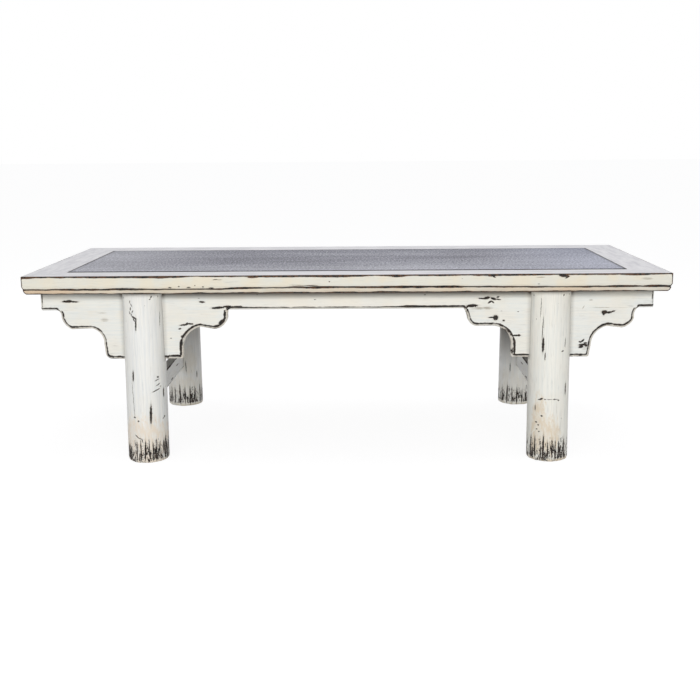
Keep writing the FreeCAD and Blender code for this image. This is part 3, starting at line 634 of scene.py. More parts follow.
railPaint = {"brushWidth": 1.0, "ragged": 0.9, "specks": 0.12, "warmth": 0.75, "fineMarks": 0.2,
             "hair": 0.25, "rimStain": 0.3, "scarShake": 1.5, "brownShare": 0.95, "sheen": 0.5,
             "white": (222, 219, 207), "cool": (218, 217, 208), "cream": (226, 216, 195),
             "brown": (88, 63, 46), "wash": (219, 196, 168)}
railTopLook = {"pale": (222, 221, 223), "shade": (196, 195, 200), "clouds": (11.0, 75.0, 75.0),
               "cloudRange": (0.34, 0.74)}


def paintRailTop(material):
    # the flat top of the frame is paler and cooler than its moulded edge, as painted light: the greyer,
    # cooler light that falls on a flat top
    look = railTopLook
    tree = material.node_tree
    target = tree.nodes["Principled BSDF"].inputs["Base Color"]
    edgeColour = target.links[0].from_socket
    grain = readAttribute(tree, "grain", "Vector")
    cloud = ease(tree, noiseAt(tree, grain, look["clouds"], 4.0, 0.65), *look["cloudRange"])
    top = blendColour(tree, cloud, colour(*look["pale"]), colour(*look["shade"]))
    rub = placeGroup(tree, rubbedThrough, grain=grain, bare=readAttribute(tree, "bare", "Fac"),
                     ragged=railPaint["ragged"], soft=paintLook["rubSoft"])
    share = times(tree, readAttribute(tree, "top", "Fac"), minus(tree, 1.0, rub["Mask"]))
    tree.links.new(blendColour(tree, share, edgeColour, top), target)


# Marks on the frame's face: along it, down from its top, half length, half width and tilt
railScars = [
    (-290, -9, 5, 0.7, 4), (-108, -25, 15, 0.9, 1), (-76, -24, 15, 0.8, -2), (-36, -15, 1.3, 1.1, 0),
    (-392, -26, 3, 0.9, 0), (-372, -24, 1.5, 0.8, 0), (-350, -26, 4, 0.8, 5), (-318, -25, 2, 0.9, 0),
    (-300, -27, 5, 0.9, 0), (-336, -22, 1.2, 0.9, 0), (150, -27.6, 34, 1.5, 0.5), (228, -28, 28, 1.5, -0.5),
    (325, -3, 9, 2.6, 0), (329, -6, 4, 1.4, -30), (484, -4, 10, 3.4, -4), (492, -8, 5, 1.4, 30),
    (-205, -4, 12, 1.6, 2), (640, -3, 22, 1.8, 0), (120, -3.6, 16, 1.8, 3)]
railFaint = [
    (-282, -9, 9, 1.6, 0), (-92, -22, 34, 2.2, -1), (-255, -15, 16, 1.0, 2), (432, -8, 12, 1.5, 3),
    (668, -12, 14, 3.0, 0)]
railMaterial = paintedWood("framePaint", railPaint, railScars, railFaint)
paintRailTop(railMaterial)
makeRail("frameFront", "long_rail_front", halfDepth, halfLength, 0, 3, railMaterial)
makeRail("frameBack", "long_rail_back", halfDepth, halfLength, 180, 17, railMaterial)
makeRail("frameLeft", "end_rail_left", halfLength, halfDepth, -90, 29, railMaterial)
makeRail("frameRight", "end_rail_right", halfLength, halfDepth, 90, 41, railMaterial)
print("top frame made")


# Panel let into the frame

panelLook = {
    "gap": 1.8, "edgeRound": 0.5, "tongueTop": 4.85, "tongueThick": 6.9, "thick": 14.8, "cell": 6.0,
    "swell": 0.25, "proud": 0.85, "edgeDirtAndShade": 0.3,
    "light": (168, 169, 178), "mid": (145, 145, 154), "dark": (108, 108, 116), "pin": (40, 39, 40),
    "lightRange": (0.5, 0.86), "midRange": (0.3, 0.62), "pinShare": 0.35,
    "broad": (2.2, 7.0, 1.0), "broadShare": 0.7,
    "paleLeft": (110, 110, 112), "paleRight": (92, 96, 108), "paleTurn": (0.1, 0.6), "paleFront": 0.88,
    "endReach": (0.25, 0.62), "frontReach": (0.06, 0.22), "backReach": (0.07, 0.2), "backTone": 0.1,
    "gloss": 0.2, "roughest": 0.72, "smoothest": 0.55, "relief": 0.22,
}
weaveLook = {
    "strand": 5.5, "pitch": 0.62, "warp": 60.0, "warpReach": (0.004, 0.006, 0.0), "weaveShare": 0.15,
    "mottle": (200.0, 140.0, 200.0), "mottleMiddle": 0.293, "mottleGain": 2.3, "rows": (5.0, 46.0, 1.0),
    "rowShare": 0.4, "weaveRelief": 0.35, "dots": (330.0, 165.0, 330.0), "dotRange": (0.66, 0.74),
}


def makeWeaveGroup():
    # close over-and-under mottling of a matted or cloth-like surface
    look = weaveLook
    tree, given, result = newGroup("mottledWeave", {"Place": None, "Strand": 5.5}, ("Tone", "Height", "Pin"))
    place = given["Place"]
    warp = addNode(tree, "ShaderNodeTexNoise", {"Vector": place, "Scale": look["warp"], "Detail": 2.0})
    moved = vectorMath(tree, "MULTIPLY", warp.outputs["Color"], look["warpReach"])
    parts = addNode(tree, "ShaderNodeSeparateXYZ", {0: vectorMath(tree, "ADD", place, moved)}).outputs
    count = calculate(tree, "DIVIDE", pi / mm, given["Strand"])
    across = calculate(tree, "SINE", times(tree, parts[0], count))
    down = calculate(tree, "SINE", times(tree, parts[1], times(tree, count, look["pitch"])))
    weave = times(tree, across, down)
    mottle = noiseAt(tree, place, look["mottle"], 3.0, 0.62)
    rows = minus(tree, noiseAt(tree, place, look["rows"], 3.0, 0.6), 0.5)
    strong = times(tree, minus(tree, mottle, look["mottleMiddle"]), look["mottleGain"])
    tone = plus(tree, plus(tree, times(tree, weave, look["weaveShare"]), strong),
                times(tree, rows, look["rowShare"]))
    tree.links.new(tone, result["Tone"])
    tree.links.new(plus(tree, times(tree, weave, look["weaveRelief"]), mottle), result["Height"])
    dots = noiseAt(tree, place, look["dots"], 2.0, 0.7)
    tree.links.new(ease(tree, dots, *look["dotRange"]), result["Pin"])
    return tree


def panelMaterial():
    look = panelLook
    material, tree, shader = newMaterial("panelSlate")
    tint = {key: colour(*look[key]) for key in ("light", "mid", "dark", "pin", "paleLeft", "paleRight")}
    place = readAttribute(tree, "face", "Vector")
    spot = addNode(tree, "ShaderNodeSeparateXYZ", {0: place}).outputs
    weave = placeGroup(tree, makeWeaveGroup(), place=place, strand=weaveLook["strand"])
    broad = times(tree, minus(tree, noiseAt(tree, place, look["broad"]), 0.5), look["broadShare"])
    back = times(tree, ease(tree, spot[1], *look["backReach"]), look["backTone"])
    tone = minus(tree, plus(tree, weave["Tone"], broad), back)
    base = blendColour(tree, ease(tree, tone, *look["midRange"]), tint["dark"], tint["mid"])
    base = blendColour(tree, ease(tree, tone, *look["lightRange"]), base, tint["light"])
    ends = ease(tree, calculate(tree, "ABSOLUTE", spot[0]), *look["endReach"])
    front = times(tree, ease(tree, times(tree, spot[1], -1.0), *look["frontReach"]), look["paleFront"])
    far = blendColour(tree, ease(tree, spot[0], *look["paleTurn"]), tint["paleLeft"], tint["paleRight"])
    base = blendColour(tree, larger(tree, ends, front), base, far, "ADD")
    base = blendColour(tree, times(tree, weave["Pin"], look["pinShare"]), base, tint["pin"])
    # dirt and painted shade at the panel's edge
    base = blendColour(tree, readAttribute(tree, "dirtAndShade", "Fac"), base, tint["pin"])
    tree.links.new(base, shader.inputs["Base Color"])
    rough = addNode(tree, "ShaderNodeMapRange", {"Value": tone, "From Min": 0.2, "From Max": 0.8,
                                                 "To Min": look["roughest"], "To Max": look["smoothest"]})
    tree.links.new(rough.outputs[0], shader.inputs["Roughness"])
    shader.inputs["Specular IOR Level"].default_value = look["gloss"]
    addBump(tree, shader, times(tree, weave["Height"], look["relief"] * mm), 0.6)
    return material


def makePanel(name, node, material):
    look = panelLook
    halfX = halfLength - railWidth - look["gap"] * mm
    halfY = halfDepth - railWidth - look["gap"] * mm
    reachX, reachY = panelHigh.x, panelHigh.y
    top = panelHigh.z + look["proud"] * mm
    countX = int(2 * halfX / mm / look["cell"]) + 1
    countY = int(2 * halfY / mm / look["cell"]) + 1
    shareX, shareY = np.meshgrid(np.linspace(-1, 1, countX), np.linspace(-1, 1, countY), indexing="ij")
    inner = 1 - look["edgeRound"] * mm / halfY
    grid = np.stack([shareX.ravel() * halfX * inner, shareY.ravel() * halfY * inner,
                     np.full(countX * countY, top)], 1)
    lift = ripple(grid, 0.11, 5) * 0.6 + ripple(grid, 0.02, 6) * 0.4 - 1
    fade = clampArray((1 - np.maximum(abs(shareX), abs(shareY)).ravel()) * 30)
    grid[:, 2] += lift * look["swell"] * mm * fade
    index = np.arange(countX * countY).reshape(countX, countY)
    border = list(index[:, 0]) + list(index[-1, 1:]) + list(index[-2::-1, -1]) + list(index[0, -2:0:-1])
    faces = [(index[i, j], index[i + 1, j], index[i + 1, j + 1], index[i, j + 1])
             for i in range(countX - 1) for j in range(countY - 1)]
    unit = np.stack([shareX.ravel()[border], shareY.ravel()[border]], 1)
    tongueTop, tongueEnd = look["tongueTop"], look["tongueTop"] + look["tongueThick"]
    rings = [(halfX, halfY, look["edgeRound"]), (halfX, halfY, tongueTop), (reachX, reachY, tongueTop),
             (reachX, reachY, tongueEnd), (halfX, halfY, tongueEnd), (halfX, halfY, look["thick"])]
    points = [grid]
    before = border
    toEdge = -np.maximum(abs(shareX) * halfX - halfX, abs(shareY) * halfY - halfY).ravel() / mm
    # dirt and painted shade along the joint: the rounded edge and the panel's sides are dark, fading in from
    # the edge
    edgeDarkness = look["edgeDirtAndShade"] * (1 + 0.8 * wavering(grid[:, 0] + grid[:, 1], 8))
    dirtAndShade = [np.where(toEdge < 0.6, 1, edgeDarkness * clampArray(1.5 - toEdge / look["cell"]))]
    count = len(border)
    for ringX, ringY, below in rings:
        start = sum(len(block) for block in points)
        level = np.full(count, top - below * mm)
        points.append(np.stack([unit[:, 0] * ringX, unit[:, 1] * ringY, level], 1))
        dirtAndShade.append(np.ones(count))
        after = [start + step for step in range(count)]
        for step in range(count):
            nextStep = (step + 1) % count
            faces.append((before[nextStep], before[step], after[step], after[nextStep]))
        before = after
    faces.append(tuple(before)[::-1])
    faces = [tuple(int(corner) for corner in face) for face in faces]
    points = np.concatenate(points)
    layers = {"face": points.copy(), "dirtAndShade": np.concatenate(dirtAndShade)}
    newPiece(name, points, faces, node, material, layers)


makePanel("slatePanel", "top_panel", panelMaterial())
print("panel made")


# Aprons, the straight boards under the frame

boardLook = {
    "bevel": 5.0, "bevelSwing": 0.9, "stationGap": 3.0, "endStrip": 12.0,
    "arrisSwing": 1.28, "endWear": (0.8, 1.5), "capWear": -0.8, "topDarkening": 20.0,
    "legDirtAndShade": 0.28, "bevelGrime": 0.14, "hollow": 0.1, "wornDepth": 0.25, "lift": 0.35,
    "endLight": {"from": 0.42, "over": 0.2, "share": 0.4},
    "middleWarmth": {"to": 0.34, "over": 0.1, "share": 0.4},
}
# How far wear reaches from a board's lower arris at places along the front, in metres and millimetres
arrisPlaces = [
    (-0.7, 2.5), (-0.6, 2.1), (-0.27, 2.8), (-0.22, 2.0), (-0.17, 1.2), (0.08, 1.1), (0.12, 1.5),
    (0.14, 3.1), (0.25, 3.1), (0.28, 2.2), (0.6, 2.0), (0.7, 2.5)]


def boardSection(width, height, bevel):
    # depth behind the face and height, in millimetres, once round, with close points at the lower edge
    wide, close = 4.0, 1.2
    points = straight((0, height), (0, 12), wide) + straight((0, 12), (0, bevel), close)
    points += straight((0, bevel), (bevel, 0), close) + straight((bevel, 0), (width, 0), wide)
    points += straight((width, 0), (width, height), wide) + straight((width, height), (0, height), 6.0)
    return np.array(points)


def makeApron(name, node, degrees, seed, material, half, faceAt, free, width, low, high):
    # free lists the stretches of the lower edge that carry a bevel, in metres along the board
    look = boardLook
    bevel = look["bevel"]
    section = boardSection(width / mm, (high - low) / mm, bevel)
    around = len(section)
    stations = int(2 * half / mm / look["stationGap"]) + 1
    near = np.array([0, 1, 2, 3.5, 5, 6.5, 9]) * mm
    inner = half - look["endStrip"] * mm
    turns = np.array([edge + hand * step * mm for edge in np.ravel(free) for hand in (-1, 1)
                      for step in np.arange(0, bevel + 1.5, 0.8)])
    stops = np.concatenate([-half + near, np.linspace(-inner, inner, stations), (half - near)[::-1],
                            turns[abs(turns) < half - near[-1]]])
    stops = np.unique(np.round(stops, 5))
    stations = len(stops)
    place = np.repeat(stops, around)
    depth = np.tile(section[:, 0], stations)
    height = np.tile(section[:, 1], stations)

    opened = np.zeros(len(stops))
    for start, end in free:
        past = clampArray(np.maximum(start - stops, stops - end) / mm / bevel)
        opened = np.maximum(opened, np.sqrt(1 - past ** 2))
    opened = np.repeat(opened, around)
    swing = 1 + look["bevelSwing"] / bevel * wavering(place, seed + 3)
    size = bevel * opened * clampArray(swing, 0.6, 1.15)
    shrink = size / bevel
    lowZone = (height <= bevel + 1e-6) & (depth <= bevel + 1e-6)
    depth2 = np.where(lowZone, depth * shrink, depth)
    height2 = np.where(lowZone, height * shrink, height)

    fromEnd = (half - abs(place)) / mm
    endCut = clampArray(bevel * 0.8 - fromEnd, 0, bevel)
    depth2 = depth2 + endCut * clampArray(1 - depth2 / (width / mm - 2))
    arrisWear = np.interp(place, *np.transpose(arrisPlaces))
    arrisWear = varied((arrisWear, look["arrisSwing"]),
                       wavering(place + seed, seed + 1, ((0.03, 0.6), (0.008, 0.4))))
    lowField = np.where(opened > 0, arrisWear - np.hypot(depth, height - size), -6.0)
    endWear = varied(look["endWear"], wavering(height * mm * 1.5 + place, seed + 2))
    endField = np.where(depth < 1, endWear - abs(fromEnd - bevel * 0.8), -6.0)
    outerEnd = look["capWear"] - fromEnd
    bare = np.max([lowField, endField, outerEnd], axis=0)
    spots = np.stack([place, depth * mm, height * mm], 1)
    sink = look["hollow"] * (1 + ripple(spots, 0.06, seed)) + look["wornDepth"] * clampArray(bare, 0, 2)
    sink = sink * (depth < 0.01)
    lift = look["lift"] * (1 + wavering(place, seed + 9, ((0.05, 0.5), (0.012, 0.5))))
    lift = lift * opened * (height < bevel)
    points = np.stack([place, -faceAt + (depth2 + sink) * mm, low + (height2 + lift) * mm], 1)
    # dirt and painted shade beside the legs, painted shade under the frame and dirt on the bevel
    legGap = abs(abs(abs(place) - legX) - legRadius) / mm
    besideLeg = clampArray(1 - legGap / 7) * (depth < 1) * (half > legX)
    underFrameShade = clampArray(1 - ((high - low) / mm - height) / look["topDarkening"])
    underFrameShade = clampArray(1.35 * underFrameShade ** 1.1, 0, 0.95)
    ends, middle = look["endLight"], look["middleWarmth"]
    # the painted shade under the frame is weaker towards the ends
    underFrameShade = underFrameShade * (1 - ends["share"] * clampArray((abs(place) - ends["from"]) / ends["over"]))
    # and the middle stretch is warmer
    between = middle["share"] * clampArray((middle["to"] - abs(place)) / middle["over"])
    between = between * (1 + 0.8 * wavering(place, seed + 17))
    onBevel = lowZone * (depth > 0.1)
    dirtAndShade = look["legDirtAndShade"] * besideLeg + underFrameShade * (depth < 1) + look["bevelGrime"] * onBevel
    layers = {
        "grain": np.stack([place + seed * 0.7, depth * mm, height * mm], 1),
        "face": np.stack([place, points[:, 2], 0 * place], 1),
        "bare": bare,
        "dirtAndShade": clampArray(dirtAndShade),
        "warm": clampArray(between),
    }
    newPiece(name, turned(points, degrees), sweepFaces(stations, around), node,
             material, layers)


boardPaint = {"brushWidth": 1.0, "ragged": 0.8, "specks": 0.16, "warmth": 0.45, "fineMarks": 0.2,
              "hair": 0.3, "rimStain": 0.25, "scarShake": 2.2, "brownShare": 0.2, "sheen": 0.55,
              "white": (230, 230, 225), "cool": (222, 225, 223), "cream": (231, 225, 212),
              "wash": (237, 230, 217)}
# Marks on the boards: along the table, up from the floor, half length, half width and tilt
boardScars = [
    (-637, 371, 11, 2.4, 1), (-622, 370.4, 9, 1.7, -2), (-634, 373, 6, 1.4, 0), (-329, 368.4, 6, 1.9, -6),
    (-292, 354.8, 14, 2.6, 4), (-272, 357.3, 9, 2.2, 2), (-250, 356.8, 13, 1.9, 0),
    (-372, 315.6, 9, 1.8, 6), (-358, 317.8, 7, 1.8, -4), (-366, 318.5, 3, 1.4, 40),
    (-382, 306.4, 3, 1.6, 15), (-287, 322.5, 7, 2.6, 45), (-376.7, 287.9, 3.4, 2.8, 0),
    (-379.5, 272, 2.2, 4.8, 0), (-381, 262, 1.5, 10.8, 0), (-381.5, 249, 1.8, 4.8, 0),
    (-395, 243.6, 12, 2.2, 1), (-411, 241, 5, 1.4, 55), (287, 356.2, 12, 3.1, 2), (276, 354, 4, 1.9, 50),
    (309, 372.8, 8, 1.6, -2), (320, 374, 7, 2.9, 12), (335, 372.2, 6, 2.6, -18), (346, 370.4, 5, 1.4, -8),
    (327, 364.5, 4.5, 1.8, 35), (333, 365, 4, 1.6, -35), (345, 376, 3, 1.6, 20),
    (340.5, 328.5, 5.5, 5.5, 0), (331, 328.9, 6, 1.6, 0), (359.3, 321.7, 2.4, 2, 0),
    (388, 286.8, 9.5, 1.7, 2), (395, 287.2, 3, 2.3, 0), (380.5, 250, 1.6, 6, 0), (388, 241.5, 6, 1.9, -12),
    (404, 242, 11, 2, 0), (588, 339.8, 6.5, 3.8, -4), (586, 336, 2.6, 3.1, 0), (598, 339, 6, 2.3, 8),
    (607, 341.6, 5, 1.4, 18), (535, 271, 3.2, 1.6, -20), (540.5, 274, 4.2, 1.9, 48),
    (547, 268.6, 3.5, 1.8, 0), (541, 264.5, 8, 2.4, 4), (537, 259.5, 5, 2.6, 10), (549, 263, 3, 2.9, 0),
    (-660, 351.5, 6, 1.5, -40), (-269, 351.8, 5, 1.6, 35), (270.5, 351.8, 5, 1.6, -35),
    (663, 351.5, 6, 1.5, 35)]
boardFaint = [
    (-625, 371, 22, 3.0, 0), (-554, 328, 10, 5.0, 0), (-560, 344, 14, 1.2, 0), (600, 350.4, 48, 0.7, 0),
    (540, 352, 6, 1.4, 60), (556, 368, 5, 2.0, 0), (322, 351, 14, 4.0, 0), (300, 350, 18, 4.0, 0),
    (548, 258, 10, 5.0, 20)]
backScars = [
    (-560, 300, 10, 2.2, 8), (-330, 360, 16, 1.6, -3), (350, 310, 9, 3.0, 14), (610, 372, 16, 1.4, 0),
    (-120, 360, 12, 1.2, 2), (180, 371, 20, 1.2, -2), (560, 265, 4, 7.0, 10), (-610, 340, 8, 3.2, -12),
    (-385, 262, 7, 2.0, 20)]
boardMaterial = paintedWood("boardPaint", boardPaint, boardScars, boardFaint)
backMaterial = paintedWood("boardPaintBack", boardPaint, backScars, boardFaint[:4])

rightLow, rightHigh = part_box("spandrel_front_right")
frontFree = [(-halfLength, spandrelLow.x), (spandrelHigh.x, rightLow.x), (rightHigh.x, halfLength)]
apronThick = apronHigh.y - apronLow.y
for side, degrees, seed, material in (("front", 0, 5, boardMaterial), ("back", 180, 23, backMaterial)):
    makeApron("apron" + side.capitalize(), "apron_" + side, degrees, seed, material, apronHigh.x,
              -apronLow.y, frontFree, apronThick, apronLow.z, apronHigh.z)
endHalf = -apronHigh.y
for side, degrees, seed in (("left", -90, 31), ("right", 90, 37)):
    makeApron("endApron" + side.capitalize(), "end_apron_" + side, degrees, seed, backMaterial, endHalf,
              -endApronLow.x, [(-halfLength, halfLength)], endApronHigh.x - endApronLow.x,
              endApronLow.z, endApronHigh.z)
print("aprons made")


# Spandrels, the shaped boards that pass through the legs

spandrelLook = {
    "grid": 4.0, "outlineGap": 1.7, "wobble": 0.45, "backRound": 0.8, "bevel": 5.7,
    "arrisWear": (1.9, 2.25), "rimWear": (-0.2, 2.25), "backWear": (0.2, 1.8), "edgeWear": (-1.5, 1.35),
    "edgeRoom": 2.5, "hollow": 0.12, "wornDepth": 0.25, "legDirtAndShade": 0.28, "bevelGrime": 0.14,
    "stillBeside": 55, "bevelSwing": (0.22, 0.07), "bevelRange": (0.6, 1.35), "gridRoom": (1.5, 2.4),
    "wearSlant": (0.85, 1.9),
}
# Lines of close points inside the outline: how many bevels in, and how many millimetres more
closeLines = ((0, 1.1), (1, -0.9), (1, 0), (1, 1.1))
# Shares of the reach out from the leg, and of the height up from the board's lower edge
wingReach = 200 * mm
wingShares = {
    "outerLeft": {"heel": 0.460, "heelRound": 0.140,
        "bite": ((0.470, 0.320), (0.505, 0.518), (0.600, 0.627)),
        "lobe": ((0.832, 0.612), (0.902, 0.702), (0.946, 0.860)), "tip": 0.985, "fillet": 3.0},
    "innerLeft": {"heel": 0.442, "heelRound": 0.030,
        "bite": ((0.445, 0.232), (0.520, 0.522), (0.655, 0.649)),
        "lobe": ((0.810, 0.605), (0.925, 0.697), (0.968, 0.838)), "tip": 0.978, "fillet": 1.0},
    "innerRight": {"heel": 0.438, "heelRound": 0.030,
        "bite": ((0.436, 0.285), (0.495, 0.513), (0.645, 0.640)),
        "lobe": ((0.800, 0.640), (0.888, 0.667), (0.942, 0.790)), "tip": 0.985, "fillet": 1.2},
    "outerRight": {"heel": 0.455, "heelRound": 0.030,
        "bite": ((0.478, 0.237), (0.525, 0.482), (0.650, 0.623)),
        "lobe": ((0.820, 0.588), (0.915, 0.671), (0.960, 0.798)), "tip": 1.0, "fillet": 3.6},
}


def wingEdge(shares, gap):
    # the lower edge of one wing from the leg to its tip, in millimetres out from the leg and up
    reach, drop = wingReach / mm, (spandrelHigh.z - spandrelLow.z) / mm

    def place(pair):
        return pair[0] * reach, pair[1] * drop

    def arc(three):
        start, middle, end = [place(pair) for pair in three]
        long = np.hypot(end[0] - start[0], end[1] - start[1]) * 1.15
        return arcThrough(start, middle, end, int(long / gap))

    heel, rounding = shares["heel"] * reach, shares["heelRound"] * drop
    slant = rounding * (1 - 0.5 ** 0.5)
    corner = ((heel - rounding, 0), (heel - slant, slant), (heel, rounding))
    tip = (shares["tip"] * reach, drop)
    edge = straight((0, 0), corner[0], gap) + arcThrough(*corner, max(4, int(rounding * 1.6 / gap)))
    edge += straight(corner[2], place(shares["bite"][0]), gap) + arc(shares["bite"])
    edge += straight(place(shares["bite"][2]), place(shares["lobe"][0]), gap) + arc(shares["lobe"])
    side = place(shares["lobe"][2])
    rise, run = tip[1] - side[1], tip[0] - side[0]
    bulge = shares["fillet"] / np.hypot(rise, run)
    middle = (side[0] + tip[0]) / 2 - rise * bulge, (side[1] + tip[1]) / 2 + run * bulge
    return edge + arcThrough(side, middle, tip, int(rise * 1.1 / gap)) + [tip]


def inwardNormals(loop):
    # the unit normal at each point of a closed outline that runs anticlockwise
    ahead = np.roll(loop, -2, 0) - np.roll(loop, 2, 0)
    normal = np.stack([-ahead[:, 1], ahead[:, 0]], 1)
    return normal / np.linalg.norm(normal, axis=1)[:, None]


def distancesTo(points, loop, closed=True):
    # the shortest way from each point to an outline, and the number of the outline's point there
    step = np.roll(loop, -1, 0) - loop
    best = np.full(len(points), 1e9)
    which = np.zeros(len(points), int)
    for index in range(len(loop) if closed else len(loop) - 1):
        away = points - loop[index]
        share = clampArray(away @ step[index] / (step[index] @ step[index]))
        gap = np.hypot(*(away - share[:, None] * step[index]).T)
        closer = gap < best
        best[closer] = gap[closer]
        which[closer] = index
    return best, which


def makeSpandrel(name, node, side, leftWing, rightWing, degrees, seed, material):
    look = spandrelLook
    bevel = look["bevel"]
    gap = look["outlineGap"]
    left = [(-across, up) for across, up in wingEdge(wingShares[leftWing], gap)]
    right = wingEdge(wingShares[rightWing], gap)
    top = straight(right[-1], left[-1], gap)[1:]
    loop = np.array(right + top + left[::-1][:-1])
    drop = (spandrelHigh.z - spandrelLow.z) / mm
    normals = inwardNormals(loop)
    onTop = loop[:, 1] > drop - 1e-6
    spots = np.stack([loop[:, 0] * mm + seed, loop[:, 1] * mm, loop[:, 0] * 0], 1)
    wobble = look["wobble"] * (1 + ripple(spots, 0.045, seed) * 0.6 + ripple(spots, 0.012, seed + 1) * 0.4)
    wobble = np.where(onTop | (abs(loop[:, 0]) < look["stillBeside"]), 0, wobble)
    loop = loop + normals * wobble[:, None]
    coarse, fine = look["bevelSwing"]
    bevels = 1 + coarse * ripple(spots, 0.05, seed + 2) + fine * ripple(spots, 0.012, seed + 3)
    bevels = bevel * clampArray(bevels, *look["bevelRange"])
    # the same from the left tip along the lower edge to the right tip
    leftStart = len(right) + len(top)
    lower = np.concatenate([loop[leftStart:], loop[:len(right)]])
    lowerBevels = np.concatenate([bevels[leftStart:], bevels[:len(right)]])

    blocks = [loop]
    for share, extra in closeLines:
        deep = bevels * share + extra
        ring = loop + normals * deep[:, None]
        blocks.append(ring[(distancesTo(ring, loop)[0] > deep * 0.93) & ~onTop])
    across = np.arange(loop[:, 0].min(), loop[:, 0].max(), look["grid"])
    up = np.arange(loop[:, 1].min(), loop[:, 1].max(), look["grid"])
    grid = np.stack([spot.ravel() for spot in np.meshgrid(across, up)], 1)
    grid[:, 0] += (grid[:, 1] / look["grid"] % 2) * look["grid"] / 2
    away, nearest = distancesTo(grid, loop)
    topRoom, bevelRoom = look["gridRoom"]
    blocks.append(grid[away > np.where(onTop, topRoom, bevels + bevelRoom)[nearest]])
    flat = np.concatenate(blocks)
    count = len(loop)
    edges = [(step, (step + 1) % count) for step in range(count)]
    netted = delaunay_2d_cdt([Vector(spot) for spot in flat.tolist()], edges, [], 1, 1e-5)
    flat, triangles = np.array([tuple(spot) for spot in netted[0]]), netted[2]
    size = len(flat)
    away, nearest = distancesTo(flat, lower, closed=False)
    far = away - lowerBevels[nearest]

    place = flat[:, 0] * mm
    height = flat[:, 1] * mm
    spread = np.stack([place + seed, height, height * 0], 1)
    waves = (ripple(spread, 0.06, seed + 4) * 0.45 + ripple(spread, 0.014, seed + 5) * 0.45
             + ripple(spread, 0.006, seed + 10) * 0.4)
    inward, outward = look["wearSlant"]
    wear = varied(look["arrisWear"], waves) - np.where(far > 0, inward * far, -outward * far)
    rim = varied(look["rimWear"], ripple(spread, 0.04, seed + 6)) - away
    bareFront = np.maximum(wear, rim)
    bareBack = varied(look["backWear"], ripple(spread, 0.05, seed + 7)) - away
    front = clampArray(-far, 0, bevel * 1.4) + look["hollow"] * (1 + ripple(spread, 0.06, seed + 8))
    front += look["wornDepth"] * clampArray(bareFront, 0, 2)
    back = apronThick / mm - clampArray(look["backRound"] - away)

    # the edge joins the front and the back sheet by way of two rings that keep their wear apart
    edge = flat[:count]
    sheets = [(flat, front), (flat, back), (edge, front[:count] + look["edgeRoom"]),
              (edge, back[:count] - look["edgeRoom"])]
    points = np.concatenate([np.stack([spot[:, 0], depth, spot[:, 1]], 1) for spot, depth in sheets])
    faces = triangles + [tuple(corner + size for corner in face[::-1]) for face in triangles]
    rows = [0, 2 * size, 2 * size + count, size]
    for near, following in zip(rows, rows[1:]):
        faces += [(near + (step + 1) % count, near + step, following + step, following + (step + 1) % count)
                  for step in range(count)]
    edgeBare = varied(look["edgeWear"], ripple(spread[:count], 0.02, seed + 11))
    middle = legX / mm * side
    world = np.stack([(points[:, 0] + middle) * mm, apronLow.y + points[:, 1] * mm,
                      spandrelLow.z + points[:, 2] * mm], 1)
    legGap = abs(abs(flat[:, 0]) - legRadius / mm)
    # dirt and painted shade beside the leg, and dirt on the bevel
    dirt = np.maximum(clampArray(1 - legGap / 7) * look["legDirtAndShade"], look["bevelGrime"] * (far < -0.5))
    onBevel = clampArray(-far / 1.5) * (0.75 + 0.5 * ripple(spread, 0.02, seed + 9))
    layers = {
        "warm": np.concatenate([onBevel, 0 * onBevel, onBevel[:count], onBevel[:count]]),
        "grain": np.stack([world[:, 0] + seed * 0.7, points[:, 1] * mm, world[:, 2]], 1),
        "face": np.stack([world[:, 0], world[:, 2], 0 * world[:, 0]], 1),
        "bare": np.concatenate([bareFront, bareBack, edgeBare, edgeBare]),
        "dirtAndShade": np.concatenate([dirt, dirt, dirt[:count], dirt[:count]]),
    }
    newPiece(name, turned(world, degrees), faces, node, material, layers, 38)


# the back pair is the front pair turned round, so its left board stands on the right
for face, hands, degrees, seed, paint in (("front", ("left", "right"), 0, 3, boardMaterial),
                                          ("back", ("right", "left"), 180, 12, backMaterial)):
    label, node = "spandrel" + face.capitalize(), "spandrel_" + face + "_"
    makeSpandrel(label + "A", node + hands[0], -1, "outerLeft", "innerLeft", degrees, seed, paint)
    makeSpandrel(label + "B", node + hands[1], 1, "innerRight", "outerRight", degrees, seed + 3, paint)
print("spandrels made")


# Legs, round posts that lean out a little towards the floor

legLook = {
    "around": 156, "rise": 2.6, "footRise": 1.5, "footZone": 62.0, "footRound": 6.0, "topRound": 1.0,
    "soleRows": [0.0, 0.5, 1.2, 2.2, 3.6, 5.2, 7.0], "dent": 0.45, "toolMarks": 0.16, "splits": 0.5,
    "slotRoom": 0.35, "slotReach": 80.0, "overcut": 10.0, "housingStart": 100.0,
    "slotDirtAndShade": ((16, 0.22), (3, 0.3)), "slotWallShade": 0.5, "wallDepth": 3.5, "bareDepth": 5.5,
    "collar": 11.0, "collarShade": 0.85, "shadeFrom": 110.0, "shadeRise": 100.0,
}
legTopY = -(min(vertex.co.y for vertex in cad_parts["leg_front_left"].data.vertices
                if vertex.co.z > underZ - mm) + legRadius)


def legCentreY(z):
    # how far the leg's middle stands from the table's centre line at each height
    return legTopY + (legFootY - legTopY) * (1 - z / underZ)


def boxShapes(boxes):
    # each box is given by its lowest and highest corner
    points, faces = [], []
    for low, high in boxes:
        start = len(points)
        points += [(x, y, z) for z in (low[2], high[2]) for x, y in
                   ((low[0], low[1]), (high[0], low[1]), (high[0], high[1]), (low[0], high[1]))]
        faces += [tuple(start + corner for corner in face) for face in
                  ((3, 2, 1, 0), (4, 5, 6, 7), (0, 1, 5, 4), (1, 2, 6, 5), (2, 3, 7, 6), (3, 0, 4, 7))]
    return points, faces


